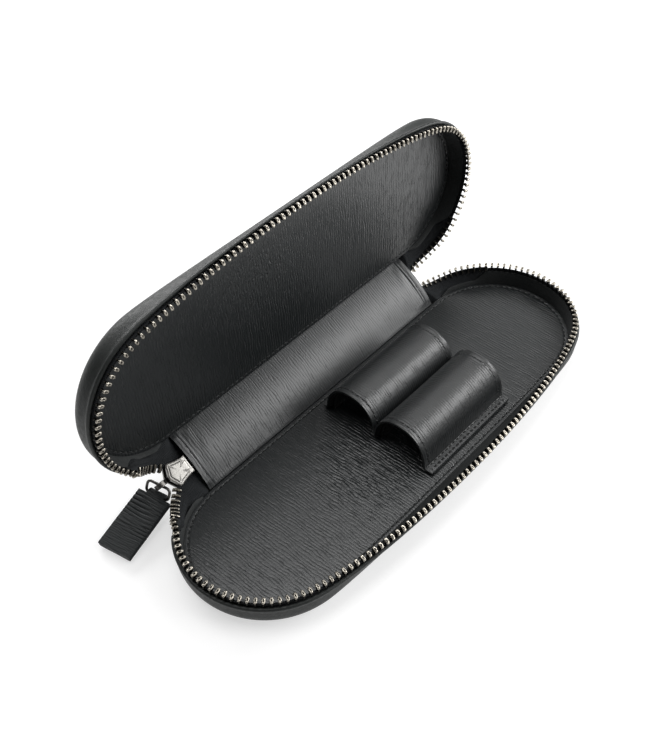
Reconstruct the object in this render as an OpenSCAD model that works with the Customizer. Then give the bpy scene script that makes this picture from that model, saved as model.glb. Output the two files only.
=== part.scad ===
// Zipped two-pen case: two shallow leather shells joined by a soft spine,
// a metal zip round the three open sides, and a pair of pen loops in the base.
// X runs along the case, +Y is the spine side, +Z is up. The origin is the
// centre of the flat underside, level with the middle of the rounded ends.

/* [Case outline] */
// Half the length of the zip line, from the middle to the end of the case
half_length = 84; // [76:1:100]
// Radius of the zip line round the two ends
end_radius = 26.4; // [25:0.2:28]
// How far the bowed zip line at the front reaches from the middle
front_reach = 32; // [30:0.5:36]
// Height of the line where the two halves of the zip mesh
mesh_height = 11.6; // [11.4:0.1:14]

/* [Shells] */
// Thickness of the outer leather
outer_leather = 1.0; // [0.8:0.05:1.2]
// Radius of the moulded edge round the underside
edge_radius = 5.5; // [4.5:0.1:6]
// How far the outer face stands out from the zip line
wall_offset = 1.35; // [1.3:0.01:1.5]
// How far the leather wall stops below the mesh line
wall_drop = 3.0; // [2.9:0.05:3.4]
// Thickness of the beaded lip along the top of the wall
lip_bead = 1.3; // [1.2:0.05:1.5]
// Thickness of the board between leather and lining
board = 1.5; // [1.2:0.05:1.6]
// Thickness of the padded lining panel
lining = 1.35; // [1:0.05:1.5]
// Thickness of the leather strip that lines the inside of the wall
wall_lining = 0.8; // [0.6:0.05:1]
// Glued gap between layers that lie on each other
glue_gap = 0.05; // [0.03:0.01:0.08]

/* [Spine] */
// Distance of the crease axes behind the rounded ends
crease_offset = 1.5; // [1.5:0.05:1.8]
// Height of the crease axes above the underside of each shell
crease_height = 1.3; // [1.3:0.05:1.5]
// Half the thickness of the spine
spine_half = 1.2; // [1.1:0.02:1.2]
// Thickness of the spine's lining
spine_lining_t = 0.8; // [0.6:0.05:0.85]
// Thickness of the flexible sheet inside the spine
spine_core_t = 0.5; // [0.4:0.05:0.5]
// Half the length of the spine, between its two hemmed ends
spine_reach = 56; // [52:0.5:57]
// Width of the turned hem at each end of the spine lining
hem_width = 3; // [2:0.1:4]
// Extra thickness of the turned hem
hem_rise = 0.3; // [0.2:0.05:0.4]
// How far the spine leans back from upright
spine_lean = 52; // [0:1:90]
// How far the lid is folded back from the spine
lid_fold = 39.5; // [0:0.5:90]

/* [Zip] */
// Distance between two teeth of one chain
pitch = 2.2; // [2.1:0.02:2.6]
// Thickness of one tooth along the chain
tooth_t = 0.95; // [0.8:0.01:0.98]
// Width of a tooth across the tape
tooth_w = 2.3; // [2:0.05:2.5]
// How far the legs of a tooth reach back from the mesh line
tooth_leg = 2.3; // [2.1:0.05:2.6]
// How far the head of a tooth reaches past the mesh line
tooth_head = 0.55; // [0.4:0.01:0.7]
// Thickness of the woven tape
tape_t = 0.5; // [0.4:0.02:0.54]
// How far the tape reaches down between leather and wall lining
tape_tuck = 3.6; // [2.5:0.1:3.8]
// Turn of the end arc, next to the spine, where the zip hangs free of the wall
free_turn = 48; // [44:1:52]

/* [Slider and pull] */
// Length of the slider's inner shield
slider_length = 8.0; // [7:0.1:9]
// Width of the shield at its shoulders
slider_width = 8.0; // [7.9:0.05:9]
// Width of the shield at its flat end
slider_tail_width = 5.9; // [5.8:0.05:6.4]
// Thickness of each wing
wing_t = 1.0; // [0.8:0.05:1.2]
// Width of the lug that carries the ring
lug_width = 1.5; // [1.3:0.05:1.6]
// Bore of the lug
lug_bore = 2.5; // [2.3:0.05:2.6]
// Distance of the lug's bore from the front of the slider
lug_reach = 2.7; // [2.6:0.1:3.5]
// Thickness of the ring's wire
wire = 0.9; // [0.7:0.05:0.95]
// Width of the ring between wire centres
ring_width = 8.4; // [8:0.1:9]
// Length of the ring between wire centres
ring_length = 3.9; // [3.8:0.1:4.5]
// Length of the leather tab from the ring's wire
tab_length = 21.4; // [16:0.2:28]
// Width of the leather tab
tab_width = 11.5; // [10:0.5:14]
// Thickness of one layer of the tab
tab_layer = 1.1; // [0.9:0.05:1.3]
// Droop of the ring below level
ring_droop = 60; // [45:1:62]
// Turn of the tab towards the front of the case
tab_yaw = 11; // [0:1:14]
// How far the ring hangs off to one side in the lug
pull_shift = 0.5; // [0:0.1:1]

/* [Pen loops] */
// Place of the middle of the loops along the case
loop_x = 11.8; // [0:0.5:20]
// Length of the loops along the case
loop_length = 41.2; // [30:1:50]
// Place of the seam between the two loops
loop_seam_y = 0.4; // [-2:0.1:2]
// Width of one loop
loop_width = 20.4; // [17:0.2:21]
// Height of a loop above the lining
loop_height = 13.2; // [11:0.2:13.6]
// Thickness of the loop leather
loop_leather = 1.3; // [1:0.05:1.5]
// Thickness of the lining inside a loop
loop_lining_t = 0.6; // [0.4:0.05:0.8]
// Width of the stitched flange at the front of the loops
loop_flange = 3.8; // [3:0.1:4.5]
// Width of the turned edge at the back of the loops
loop_heel = 1.5; // [1:0.1:2]

/* [Hidden] */

near = -1;
far = 1;
full = 360;
right_angle = 90;
nothing = 0.01;
running_gap = 0.3;
slot_gap = 0.05;
arc_step = 5;
bow_steps = 24;

// Outline: two end circles, a bowed front tangent to both and a straight spine side.
end_x = half_length - end_radius;
bow_radius = (end_x * end_x + front_reach * front_reach - end_radius * end_radius)
             / (2 * (front_reach - end_radius));
bow_y = bow_radius - front_reach;
bow_angle = atan2(end_x, bow_y);
end_turn = 180 - bow_angle;
end_run = end_turn * PI / 180 * end_radius;
bow_run = 2 * bow_angle * PI / 180 * bow_radius;
free_run = free_turn * PI / 180 * end_radius;
rim_run = 2 * end_run + bow_run - 2 * free_run;
tooth_count = floor(rim_run / pitch);

// Layers of a shell, from the underside up.
board_z = outer_leather + glue_gap;
lining_z = board_z + board + glue_gap;
floor_z = lining_z + lining;
wall_top = mesh_height - wall_drop;
wall_inner = wall_offset - outer_leather;
corner_e = wall_offset - edge_radius;
lining_edge = -0.95;
tape_gap = wall_inner - tape_t / 2;
wall_lining_e = -wall_inner - wall_lining - 0.15;
tape_top = mesh_height - 1.1;
tape_foot = wall_top - tape_tuck;
low_wall = 3.7;
wall_foot = 2.6;
wall_start = 4;
slope_end = end_radius * sin(free_turn);
slope_start = slope_end * 0.72;

// Creases and spine, drawn with the case shut and then folded open.
crease_y = end_radius + crease_offset;
lid_crease_z = 2 * mesh_height - crease_height;
spine_mid_z = mesh_height;
spine_inner_y = crease_y - spine_half;
core_y = spine_inner_y + spine_lining_t + glue_gap;
outer_y = core_y + spine_core_t + glue_gap;
spine_outer_t = crease_y + spine_half - outer_y;
tail_y = core_y + spine_core_t / 2;
tail_tuck = 4;
core_reach = spine_reach - tail_tuck - 1;
hem_foot = floor_z + 0.8 - crease_height;

// Slider: its own frame has +X out of the mouth, +Y up the spine and +Z outwards.
slider_x = -(spine_reach + 0.7);
channel = tooth_w / 2 + 0.2;
tail_half = tooth_leg + 0.15;
flange_gap = 0.5;
lug_x = slider_length + lug_reach;
lug_round = lug_bore / 2 + 0.65;
ring_bend = 1.2;
tab_shoulder = 1.6;
tab_rest = 0.15;
tab_top = wire / 2 + 0.1;

function arc(cx, cy, r, from, to, steps) =
    [for (i = [0:steps]) let (a = from + (to - from) * i / steps) [cx + r * cos(a), cy + r * sin(a)]];

// The plan, grown by e from the zip line, with its spine side at y = back.
function plan_points(e, back) = concat(
    arc(-end_x, 0, end_radius + e, right_angle, right_angle + end_turn, ceil(end_turn / arc_step)),
    arc(0, bow_y, bow_radius + e, 270 - bow_angle, 270 + bow_angle, bow_steps),
    arc(end_x, 0, end_radius + e, 270 + bow_angle, full + right_angle, ceil(end_turn / arc_step)),
    [[end_x - tail_tuck, back], [-end_x + tail_tuck, back]]);

// A point of the zip line, and the direction that faces out there, at a run along it.
function rim_turn(run) =
    run < end_run ? right_angle + run / end_radius * 180 / PI
    : run < end_run + bow_run ? 270 - bow_angle + (run - end_run) / bow_radius * 180 / PI
    : 270 + bow_angle + (run - end_run - bow_run) / end_radius * 180 / PI;
function rim_point(run) = let (a = rim_turn(run))
    run < end_run ? [-end_x + end_radius * cos(a), end_radius * sin(a)]
    : run < end_run + bow_run ? [bow_radius * cos(a), bow_y + bow_radius * sin(a)]
    : [end_x + end_radius * cos(a), end_radius * sin(a)];

// Points folded open with the spine or with the lid.
function fold(p, z, angle) = let (dy = p.y - crease_y, dz = p.z - z)
    [p.x, crease_y + dy * cos(angle) + dz * sin(angle), z - dy * sin(angle) + dz * cos(angle)];
function on_spine_at(p) = fold(p, crease_height, spine_lean);
function on_lid_at(p) = on_spine_at(fold([p.x, p.y, 2 * mesh_height - p.z], lid_crease_z, lid_fold));
function on_half_at(p, lid) = lid ? on_lid_at(p) : p;

module on_spine() {
    translate([0, crease_y, crease_height]) rotate([-spine_lean, 0, 0])
        translate([0, -crease_y, -crease_height]) children();
}

module on_lid() {
    on_spine() translate([0, crease_y, lid_crease_z]) rotate([-lid_fold, 0, 0])
        translate([0, -crease_y, -lid_crease_z]) shut_lid() children();
}

module shut_lid() {
    translate([0, 0, 2 * mesh_height]) mirror([0, 0, 1]) children();
}

// Where sections stand along the zip line, from one end of the open sides to the other.
function rim_runs(skip) = let (skipped = skip * PI / 180 * end_radius,
                               steps = ceil((end_turn - skip) / arc_step),
                               step = (end_run - skipped) / steps)
    concat([for (i = [0:steps]) skipped + step * i],
           [for (i = [1:bow_steps - 1]) end_run + bow_run * i / bow_steps],
           [for (i = [0:steps]) end_run + bow_run + step * i]);
function beside_rim(run, e) = let (p = rim_point(run), a = rim_turn(run))
    [p.x + e * cos(a), p.y + e * sin(a)];

// An upright band round the open sides, between two distances out from the zip line.
module rim_band(inside, thickness, foot, top, skip) {
    runs = rim_runs(skip);
    last = len(runs) - 1;
    translate([0, 0, foot]) linear_extrude(top - foot)
        polygon(concat([for (run = runs) beside_rim(run, inside + thickness)],
                       [for (i = [last:-1:0]) beside_rim(runs[i], inside)]));
}

// The wall runs down to the spine at both ends.
function slope_height(x) = low_wall + (wall_top - low_wall)
    * min(1, max(0, (abs(x) - end_x - slope_start) / (slope_end - slope_start)));

// This is what is cut off the top of the wall lining.
module wall_slope() {
    top = mesh_height + 1;
    for (side = [0, 1]) mirror([side, 0, 0])
        translate([-end_x, end_radius + wall_offset + 1, 0]) rotate([right_angle, 0, 0])
            linear_extrude(end_radius / 2 + wall_offset + 1)
                polygon([[-slope_end, top], [-slope_end, wall_top], [-slope_start, low_wall],
                         [slope_start, low_wall], [slope_start, top]]);
}

// The leather of the wall in section, from the underside round the lip to the inside.
wall_section = let (bead_r = lip_bead / 2) concat(
    arc(corner_e, edge_radius, edge_radius, -right_angle, 0, 7),
    [[wall_offset, wall_top - lip_bead]],
    arc(wall_inner + bead_r + 0.1, wall_top - bead_r, bead_r, -45, right_angle, 5),
    [[wall_inner, wall_top]],
    arc(corner_e, edge_radius, edge_radius - outer_leather, 0, -right_angle, 7));

// The leather pan: its section carried round the open sides, and a floor that reaches the crease.
module outer_shell() {
    size = len(wall_section);
    runs = rim_runs(wall_start);
    last = (len(runs) - 1) * size;
    wall = [for (run = runs) for (s = wall_section)
        let (p = beside_rim(run, s.x), top = slope_height(rim_point(run).x),
             share = (top - wall_foot) / (wall_top - wall_foot))
        [p.x, p.y, s.y < wall_foot ? s.y : wall_foot + (s.y - wall_foot) * share]];
    floor_inset = 4 * slot_gap;
    floor_y = end_radius - floor_inset;
    floor_x = end_x + floor_y * tan(wall_start) - floor_inset;
    corners = [for (side = [far, near]) for (z = [0, outer_leather]) [side * floor_x, floor_y, z]];
    past = last + size;
    polyhedron(concat(wall, corners), concat(
        [for (i = [0:size:last - size]) for (k = [i:i + size - 2]) [k, k + 1, k + size]],
        [for (i = [0:size:last - size]) for (k = [i:i + size - 2]) [k + 1, k + size + 1, k + size]],
        [[for (k = [size - 1:-1:0]) k]],
        [[for (k = [0:size - 1]) last + k]],
        [concat([for (i = [0:size:last]) i], [past, past + 2])],
        [concat([past + 3, past + 1], [for (i = [last:-size:0]) i + size - 1])],
        [[last, last + size - 1, past + 1, past], [past, past + 1, past + 3, past + 2],
         [past + 2, past + 3, size - 1, 0]]), convexity = 6);
}

// How far out the leather leaves room for a layer at a height.
function room_at(z) = let (below = max(0, edge_radius - z))
    corner_e + sqrt(pow(edge_radius - outer_leather, 2) - pow(below, 2));

module board_panel() {
    layers = 3;
    layer = board / layers;
    for (i = [0:layers - 1])
        translate([0, 0, board_z + i * layer]) linear_extrude(layer)
            polygon(plan_points(room_at(board_z + i * layer) - running_gap, end_radius - slot_gap));
}

module lining_panel() {
    translate([0, 0, lining_z]) linear_extrude(lining) polygon(plan_points(lining_edge, end_radius));
}

module wall_lining_strip() {
    difference() {
        rim_band(wall_lining_e, wall_lining, floor_z + glue_gap, wall_top - 0.2, arc_step);
        wall_slope();
    }
}

module rim_tape() {
    rim_band(-tape_t / 2, tape_t, tape_foot, tape_top, free_turn);
}

// One tooth: legs clamped on the tape, a waist and a round head.
// X runs along the chain, Y across the tape, and Z = 0 is the mesh line.
tooth_fit = 0.1;
head_share = 0.37;
head_from = 15;
leg_chamfer = 0.25;
neck_low = -1.05;
neck_high = -0.6;
module tooth() {
    leg = tooth_w / 2;
    slot = tape_t / 2 + 2 * slot_gap;
    slot_top = -tape_edge + tooth_fit;
    head_r = tooth_w * head_share;
    rotate([right_angle, 0, right_angle]) translate([0, 0, -tooth_t / 2]) linear_extrude(tooth_t)
        polygon(concat(
            [[slot, slot_top], [slot, -tooth_leg], [leg - leg_chamfer, -tooth_leg],
             [leg, -tooth_leg + leg_chamfer], [leg, neck_low], [head_r, neck_high]],
            arc(0, tooth_head - head_r, head_r, head_from, 180 - head_from, 8),
            [[-head_r, neck_high], [-leg, neck_low], [-leg, -tooth_leg + leg_chamfer],
             [-leg + leg_chamfer, -tooth_leg], [-slot, -tooth_leg], [-slot, slot_top]]));
}

module rim_teeth(shift) {
    for (i = [0:tooth_count - 1]) {
        run = free_run + (i + shift) * pitch;
        place = rim_point(run);
        translate([place.x, place.y, mesh_height]) rotate([0, 0, rim_turn(run) + right_angle]) tooth();
    }
}

// Free ends of the zip. Each chain leaves its rim and curves over to the spine.
// Each pair holds the value at the near end, then the one at the far end.
mouth_inset = 0.9;
far_reach = 1.4;
goal_x = [slider_x - slider_length + mouth_inset, spine_reach + far_reach];
goal_spread = [2.75, 2.6];
goal_flare = [0.9, 0.25];
lead_share = [0.25, 0.55];
exit_share = [0.38, 0.36];
bow_out = [1.4, 0];
foot_depth = 0.6;
end_steps = 14;
web_steps = 4;
chain_from = 0.02;
chain_end = 0.98;
tooth_phase = 0.6;
tape_edge = 1.15;
web_foot = 0.6;
web_edge = 5.1;

function unit(v) = v / norm(v);
function lid_sign(lid) = lid ? 1 : -1;
function at_end(side, pair) = pair[side == near ? 0 : 1];
function chain_start(side, lid) = let (a = free_turn)
    on_half_at([side * (end_x + end_radius * sin(a)), end_radius * cos(a), mesh_height], lid);
// Directions at the rim's end: along the chain, and straight out from the rim.
function on_half_way(v, lid) = on_half_at(v, lid) - on_half_at([0, 0, 0], lid);
function chain_lead(side, lid) = on_half_way([-side * cos(free_turn), sin(free_turn), 0], lid);
function chain_out(side, lid) = on_half_way([side * sin(free_turn), cos(free_turn), 0], lid);
function chain_goal(side, lid) = on_spine_at([at_end(side, goal_x), tail_y,
    spine_mid_z + lid_sign(lid) * at_end(side, goal_spread)]);
function chain_exit(side, lid) = let (flare = lid_sign(lid) * at_end(side, goal_flare))
    on_spine_at([-side, tail_y, -flare]) - on_spine_at([0, tail_y, 0]);
function chain_at(side, lid, t) = let (
    a = chain_start(side, lid), d = chain_goal(side, lid), k = norm(d - a),
    b = a + k * at_end(side, lead_share) * chain_lead(side, lid)
        + at_end(side, bow_out) * chain_out(side, lid),
    c = d - k * at_end(side, exit_share) * unit(chain_exit(side, lid)))
    pow(1 - t, 3) * a + 3 * pow(1 - t, 2) * t * b + 3 * (1 - t) * t * t * c + t * t * t * d;
function chain_way(side, lid, t) =
    unit(chain_at(side, lid, t + nothing) - chain_at(side, lid, t - nothing));
// Where the free tape is rooted, between the sloping wall and its lining.
function root_at(side, lid, t, depth) = let (
    a = free_turn * (1 - t), z = slope_height(end_x + end_radius * sin(a)) - depth,
    r = end_radius + min(0, room_at(z) - tape_t / 2 - 2 * slot_gap))
    on_half_at([side * (end_x + r * sin(a)), r * cos(a), z], lid);
function chain_down(side, lid, t) = let (way = chain_way(side, lid, t),
    d = root_at(side, lid, t, 0) - chain_at(side, lid, t))
    unit(d - (d * way) * way);
function chain_length(side, lid, t = 0, step = 0.025) = t >= 1 - step / 2 ? 0
    : norm(chain_at(side, lid, t + step) - chain_at(side, lid, t)) + chain_length(side, lid, t + step);

// Rows of a free tape: its root in the wall, then up to the chain.
function tape_row(side, lid, t) = let (
    foot = root_at(side, lid, t, foot_depth), root = root_at(side, lid, t, -foot_depth),
    top = chain_at(side, lid, t) + tape_edge * chain_down(side, lid, t),
    low = chain_at(side, lid, t) + (tooth_leg + 0.2) * chain_down(side, lid, t))
    [foot, root, root + (low - root) / 3, root + (low - root) * 2 / 3, low, top];
// Past the slider's mouth the tape goes on as a web, back to the end of the spine.
function web_row(side, lid, t) = let (
    last = tape_row(side, lid, chain_end), x = side * (spine_reach + running_gap),
    corner = on_spine_at([x, tail_y, lid ? lid_crease_z - web_foot : crease_height + web_foot]),
    edge = on_spine_at([x, tail_y, spine_mid_z + lid_sign(lid) * web_edge]))
    [for (j = [0:len(last) - 1]) let (w = j / (len(last) - 1))
        last[j] + (corner + (edge - corner) * w - last[j]) * t];

function sheet_normal(rows, i, j) = let (n = len(rows) - 1, m = len(rows[0]) - 1,
    along = rows[min(i + 1, n)][j] - rows[max(i - 1, 0)][j],
    across = rows[i][min(j + 1, m)] - rows[i][max(j - 1, 0)])
    unit(cross(along, across));

// A sheet of thickness t along a grid of points.
module sheet(rows, t) {
    n = len(rows) - 1;
    m = len(rows[0]) - 1;
    w = m + 1;
    below = (n + 1) * w;
    upper = [for (i = [0:n]) for (j = [0:m]) rows[i][j] + t / 2 * sheet_normal(rows, i, j)];
    lower = [for (i = [0:n]) for (j = [0:m]) rows[i][j] - t / 2 * sheet_normal(rows, i, j)];
    faces = concat(
        [for (i = [0:n - 1]) for (j = [0:m - 1]) [i * w + j, i * w + j + 1, (i + 1) * w + j + 1]],
        [for (i = [0:n - 1]) for (j = [0:m - 1]) [i * w + j, (i + 1) * w + j + 1, (i + 1) * w + j]],
        [for (i = [0:n - 1]) for (j = [0:m - 1])
            [below + i * w + j, below + (i + 1) * w + j + 1, below + i * w + j + 1]],
        [for (i = [0:n - 1]) for (j = [0:m - 1])
            [below + i * w + j, below + (i + 1) * w + j, below + (i + 1) * w + j + 1]],
        [for (i = [0:n - 1]) [i * w, (i + 1) * w, below + (i + 1) * w, below + i * w]],
        [for (i = [0:n - 1]) [(i + 1) * w + m, i * w + m, below + i * w + m, below + (i + 1) * w + m]],
        [for (j = [0:m - 1]) [j + 1, j, below + j, below + j + 1]],
        [for (j = [0:m - 1]) [n * w + j, n * w + j + 1, below + n * w + j + 1, below + n * w + j]]);
    polyhedron(concat(upper, lower), faces, convexity = 6);
}

module free_tape(lid) {
    for (side = [near, far])
        sheet(concat(
            [for (i = [0:end_steps])
                tape_row(side, lid, chain_from + (chain_end - chain_from) * i / end_steps)],
            [for (i = [1:web_steps]) web_row(side, lid, i / web_steps)]), tape_t - 3 * slot_gap);
}

module free_teeth(lid) {
    for (side = [near, far]) {
        count = floor(chain_length(side, lid) / pitch);
        for (i = [0:count - 1]) {
            t = (i + tooth_phase) / count;
            way = chain_way(side, lid, t);
            up = -chain_down(side, lid, t);
            across = cross(up, way);
            at = chain_at(side, lid, t);
            multmatrix([[way.x, across.x, up.x, at.x], [way.y, across.y, up.y, at.y],
                        [way.z, across.z, up.z, at.z], [0, 0, 0, 1]]) tooth();
        }
    }
}

// Spine layers: half a stadium each, so that the edges roll round the creases.
module spine_half_section(from_y, to_y) {
    steps = 8;
    low = crease_height;
    high = lid_crease_z;
    inner = asin((crease_y - to_y) / spine_half);
    outer = asin((crease_y - from_y) / spine_half);
    polygon(concat(
        [for (i = [0:steps]) let (a = inner + (outer - inner) * i / steps)
            [crease_y - spine_half * sin(a), low - spine_half * cos(a)]],
        [for (i = [steps:-1:0]) let (a = inner + (outer - inner) * i / steps)
            [crease_y - spine_half * sin(a), high + spine_half * cos(a)]]));
}

module along_spine(reach) {
    translate([-reach, 0, 0]) rotate([right_angle, 0, right_angle]) linear_extrude(2 * reach) children();
}

// The slider's shield, seen from inside the case, mouth end to +X.
function shield_side(grow) = [
    [-grow, slider_tail_width / 2 + grow * 0.7],
    [slider_length * 0.16, slider_tail_width / 2 - 0.1 + grow],
    [slider_length * 0.36, slider_tail_width / 2 + 0.2 + grow],
    [slider_length * 0.58, slider_width / 2 - 0.45 + grow],
    [slider_length * 0.74, slider_width / 2 - 0.05 + grow],
    [slider_length * 0.8 + grow * 0.6, slider_width / 2 - 0.25 + grow * 0.6],
    [slider_length * 0.87 + grow * 0.8, slider_width / 2 - 1.3 + grow * 0.4],
    [slider_length * 0.93 + grow, slider_width / 2 - 2.3],
    [slider_length + grow, 0.7]];
function shield_points(grow) = let (half = shield_side(grow))
    concat(half, [for (i = [len(half) - 1:-1:0]) [half[i].x, -half[i].y]]);

module slider_frame() {
    on_spine() translate([slider_x, tail_y, spine_mid_z]) rotate([right_angle, 0, 180]) children();
}

groove = 0.15;
groove_in = 0.55;
groove_w = 0.25;
bridge_from = slider_length * 0.62;
bridge_to = slider_length - 0.3;
bridge_wide = slider_length - 1.2;
bridge_half = 0.9;
bridge_nose = 0.6;
module slider_casting() {
    difference() {
        translate([0, 0, -channel - wing_t]) linear_extrude(wing_t) polygon(shield_points(0));
        translate([0, 0, -channel - wing_t - nothing]) linear_extrude(groove + nothing) difference() {
            polygon(shield_points(-groove_in));
            polygon(shield_points(-groove_in - groove_w));
        }
    }
    translate([0, 0, channel]) linear_extrude(wing_t) polygon(shield_points(0));
    // Bridge between the wings, wedge-shaped so that it parts the two chains.
    translate([0, 0, -channel - nothing]) linear_extrude(2 * channel + 2 * nothing)
        polygon([[bridge_from, 0], [bridge_wide, bridge_half], [bridge_to, bridge_nose],
                 [bridge_to, -bridge_nose], [bridge_wide, -bridge_half]]);
    // Flanges keep the teeth in the channel and leave a slit for the tapes.
    flange_length = slider_length * 0.5;
    flange_depth = channel - flange_gap;
    for (edge = [-1, 1]) for (wing = [-1, 1])
        translate([0, edge > 0 ? tail_half : -slider_tail_width / 2 + 0.1,
                   wing > 0 ? flange_gap : -channel - nothing])
            cube([flange_length, slider_tail_width / 2 - 0.1 - tail_half, flange_depth + nothing]);
    slider_lug();
}

// The lug stands out of the mouth end of the outer wing, bored across for the ring.
module slider_lug() {
    translate([0, lug_width / 2, 0]) rotate([right_angle, 0, 0]) difference() {
        linear_extrude(lug_width) difference() {
            union() {
                translate([lug_x, 0]) circle(lug_round, $fn = 48);
                translate([slider_length - 1.5, channel]) square([lug_reach + 1.5, wing_t]);
                translate([slider_length - 0.4, -0.2]) square([lug_reach - 0.4, channel + 0.6]);
            }
            translate([lug_x, 0]) circle(lug_bore / 2, $fn = 48);
        }
    }
}

// The ring hangs from the lug: X runs out along it and Y across it.
lug_centre = on_spine_at([slider_x - lug_x, tail_y, spine_mid_z]);
module ring_frame() {
    translate(lug_centre) rotate([0, 0, 180 + tab_yaw]) translate([0, -pull_shift, 0])
        rotate([0, ring_droop, 0]) children();
}

// The tab lies from the ring's far bar down to the table: Z is its upper face.
tab_bar_z = lug_centre.z - ring_length * sin(ring_droop);
tab_droop = asin((tab_bar_z - tab_layer - tab_rest) / tab_length);
module tab_frame() {
    ring_frame() translate([ring_length, 0, 0]) rotate([0, tab_droop - ring_droop, 0]) children();
}

module wire_loop() {
    bend = ring_bend;
    half = ring_width / 2 - bend;
    r = wire / 2;
    for (x = [0, ring_length]) translate([x, half, 0]) rotate([right_angle, 0, 0])
        cylinder(h = 2 * half, r = r, $fn = 32);
    for (y = [-1, 1]) translate([bend, y * ring_width / 2, 0]) rotate([0, right_angle, 0])
        cylinder(h = ring_length - 2 * bend, r = r, $fn = 32);
    for (corner = [[bend, half, 90], [bend, -half, 180], [ring_length - bend, -half, 270],
                   [ring_length - bend, half, 0]])
        translate([corner.x, corner.y, 0]) rotate([0, 0, corner.z])
            rotate_extrude(angle = right_angle, $fn = 48) translate([bend, 0]) circle(r, $fn = 32);
}

// The front layer is folded round the ring's wire, between the ring's two corners.
fold_gap = 0.1;
fold_side_gap = 0.5;
fold_lap = 0.5;
fold_end = 0.4;
module tab_fold() {
    neck = ring_width - 2 * ring_bend - 2 * fold_side_gap;
    bore = wire / 2 + fold_gap;
    translate([0, neck / 2, 0]) rotate([right_angle, 0, 0]) linear_extrude(neck)
        difference() {
            union() {
                circle(bore + tab_layer, $fn = 48);
                translate([0, bore]) square([tab_shoulder + fold_lap, tab_layer]);
            }
            circle(bore, $fn = 48);
            translate([fold_end, -bore - tab_layer]) square([bore + tab_layer, 2 * bore + tab_layer]);
        }
}

tab_corner = 0.6;
module tab_outline(from) {
    half = tab_width / 2;
    corner = tab_corner;
    polygon([[from, half - corner], [from + corner, half], [tab_length - corner, half],
             [tab_length, half - corner], [tab_length, corner - half], [tab_length - corner, -half],
             [from + corner, -half], [from, corner - half]]);
}

// Pen loops: two round-shouldered arches side by side.
arch_steps = 24;
arch_power = 0.72;
loop_lap = 0.3;
flange_lap = 1;
loop_cy = [for (side = [-1, 1]) loop_seam_y + side * (loop_width / 2 - loop_lap)];
function arch(cy, w, h) = [for (i = [0:arch_steps]) let (a = 180 * i / arch_steps, c = cos(a), s = sin(a))
    [cy + w * sign(c) * pow(abs(c), arch_power), h * pow(abs(s), arch_power)]];

module loop_section() {
    half = loop_width / 2;
    difference() {
        union() {
            for (cy = loop_cy) polygon(arch(cy, half, loop_height));
            translate([loop_cy[0] - half - loop_flange + loop_lap, 0])
                square([loop_flange + flange_lap, loop_leather]);
            translate([loop_cy[1] + half - flange_lap - loop_lap, 0])
                square([loop_heel + flange_lap, loop_leather]);
        }
        for (cy = loop_cy) translate([0, -nothing])
            polygon(arch(cy, half - loop_leather, loop_height - loop_leather + nothing));
    }
}

module loop_place() {
    translate([loop_x - loop_length / 2, 0, floor_z])
        rotate([right_angle, 0, right_angle]) linear_extrude(loop_length) children();
}

module base_outer_shell() {
    color("#2b2e2c") outer_shell();
}

module base_board() {
    color("#8a7a62") board_panel();
}

module base_lining_panel() {
    color("#3a3c3d") lining_panel();
}

module base_wall_lining() {
    color("#242526") wall_lining_strip();
}

module base_zip_tape() {
    color("#141414") rim_tape();
}

module base_zip_teeth() {
    color("#b9b4a8") rim_teeth(0.5);
}

module base_zip_end_tape() {
    color("#141414") free_tape(false);
}

module base_zip_end_teeth() {
    color("#b9b4a8") free_teeth(false);
}

module pen_loop_strip() {
    color("#36393a") loop_place() loop_section();
}

module pen_loop_lining() {
    half = loop_width / 2 - loop_leather - glue_gap;
    rise = loop_height - loop_leather - glue_gap;
    color("#1d1e20") loop_place() difference() {
        for (cy = loop_cy) polygon(arch(cy, half, rise));
        for (cy = loop_cy) translate([0, -nothing])
            polygon(arch(cy, half - loop_lining_t, rise - loop_lining_t + nothing));
    }
}

module spine_outer() {
    color("#2b2e2c") on_spine() along_spine(spine_reach)
        spine_half_section(outer_y, outer_y + spine_outer_t);
}

module spine_core() {
    color("#8a7a62") on_spine() translate([-core_reach, core_y, crease_height])
        cube([2 * core_reach, spine_core_t, lid_crease_z - crease_height]);
}

module spine_lining() {
    hem_length = lid_crease_z - crease_height - 2 * hem_foot;
    color("#4a4d4e") on_spine() union() {
        along_spine(spine_reach) spine_half_section(spine_inner_y, spine_inner_y + spine_lining_t);
        for (x = [-spine_reach, spine_reach - hem_width])
            translate([x, spine_inner_y - hem_rise, crease_height + hem_foot])
                cube([hem_width, hem_rise + nothing, hem_length]);
    }
}

// The ends of both tapes lie side by side in the spine, one pair at each end.
tail_reach = [slider_length / 2 + 0.7, 1];
tape_half = 3.9;
module zip_tail_tape() {
    near_length = tail_reach[0] + tail_tuck;
    far_length = tail_reach[1] + tail_tuck;
    slit = tape_edge;
    color("#141414") on_spine() for (half = [-1, 1]) {
        translate([-spine_reach + tail_tuck - near_length, tail_y - tape_t / 2,
                   spine_mid_z + (half > 0 ? slit : -tape_half)])
            cube([near_length, tape_t, tape_half - slit]);
        translate([spine_reach - tail_tuck, tail_y - tape_t / 2,
                   spine_mid_z + (half > 0 ? slit : -tape_half)])
            cube([far_length, tape_t, tape_half - slit]);
    }
}

tail_first = 0.75;
module zip_tail_teeth() {
    color("#b9b4a8") on_spine() for (half = [-1, 1]) for (i = [0:1])
        translate([slider_x - tail_first - (i + (half > 0 ? 0.5 : 0)) * pitch, tail_y, spine_mid_z])
            rotate([half > 0 ? 180 : 0, 0, 0]) tooth();
}

module lid_outer_shell() {
    color("#2b2e2c") on_lid() outer_shell();
}

module lid_board() {
    color("#8a7a62") on_lid() board_panel();
}

module lid_lining_panel() {
    color("#3a3c3d") on_lid() lining_panel();
}

module lid_wall_lining() {
    color("#242526") on_lid() wall_lining_strip();
}

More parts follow.
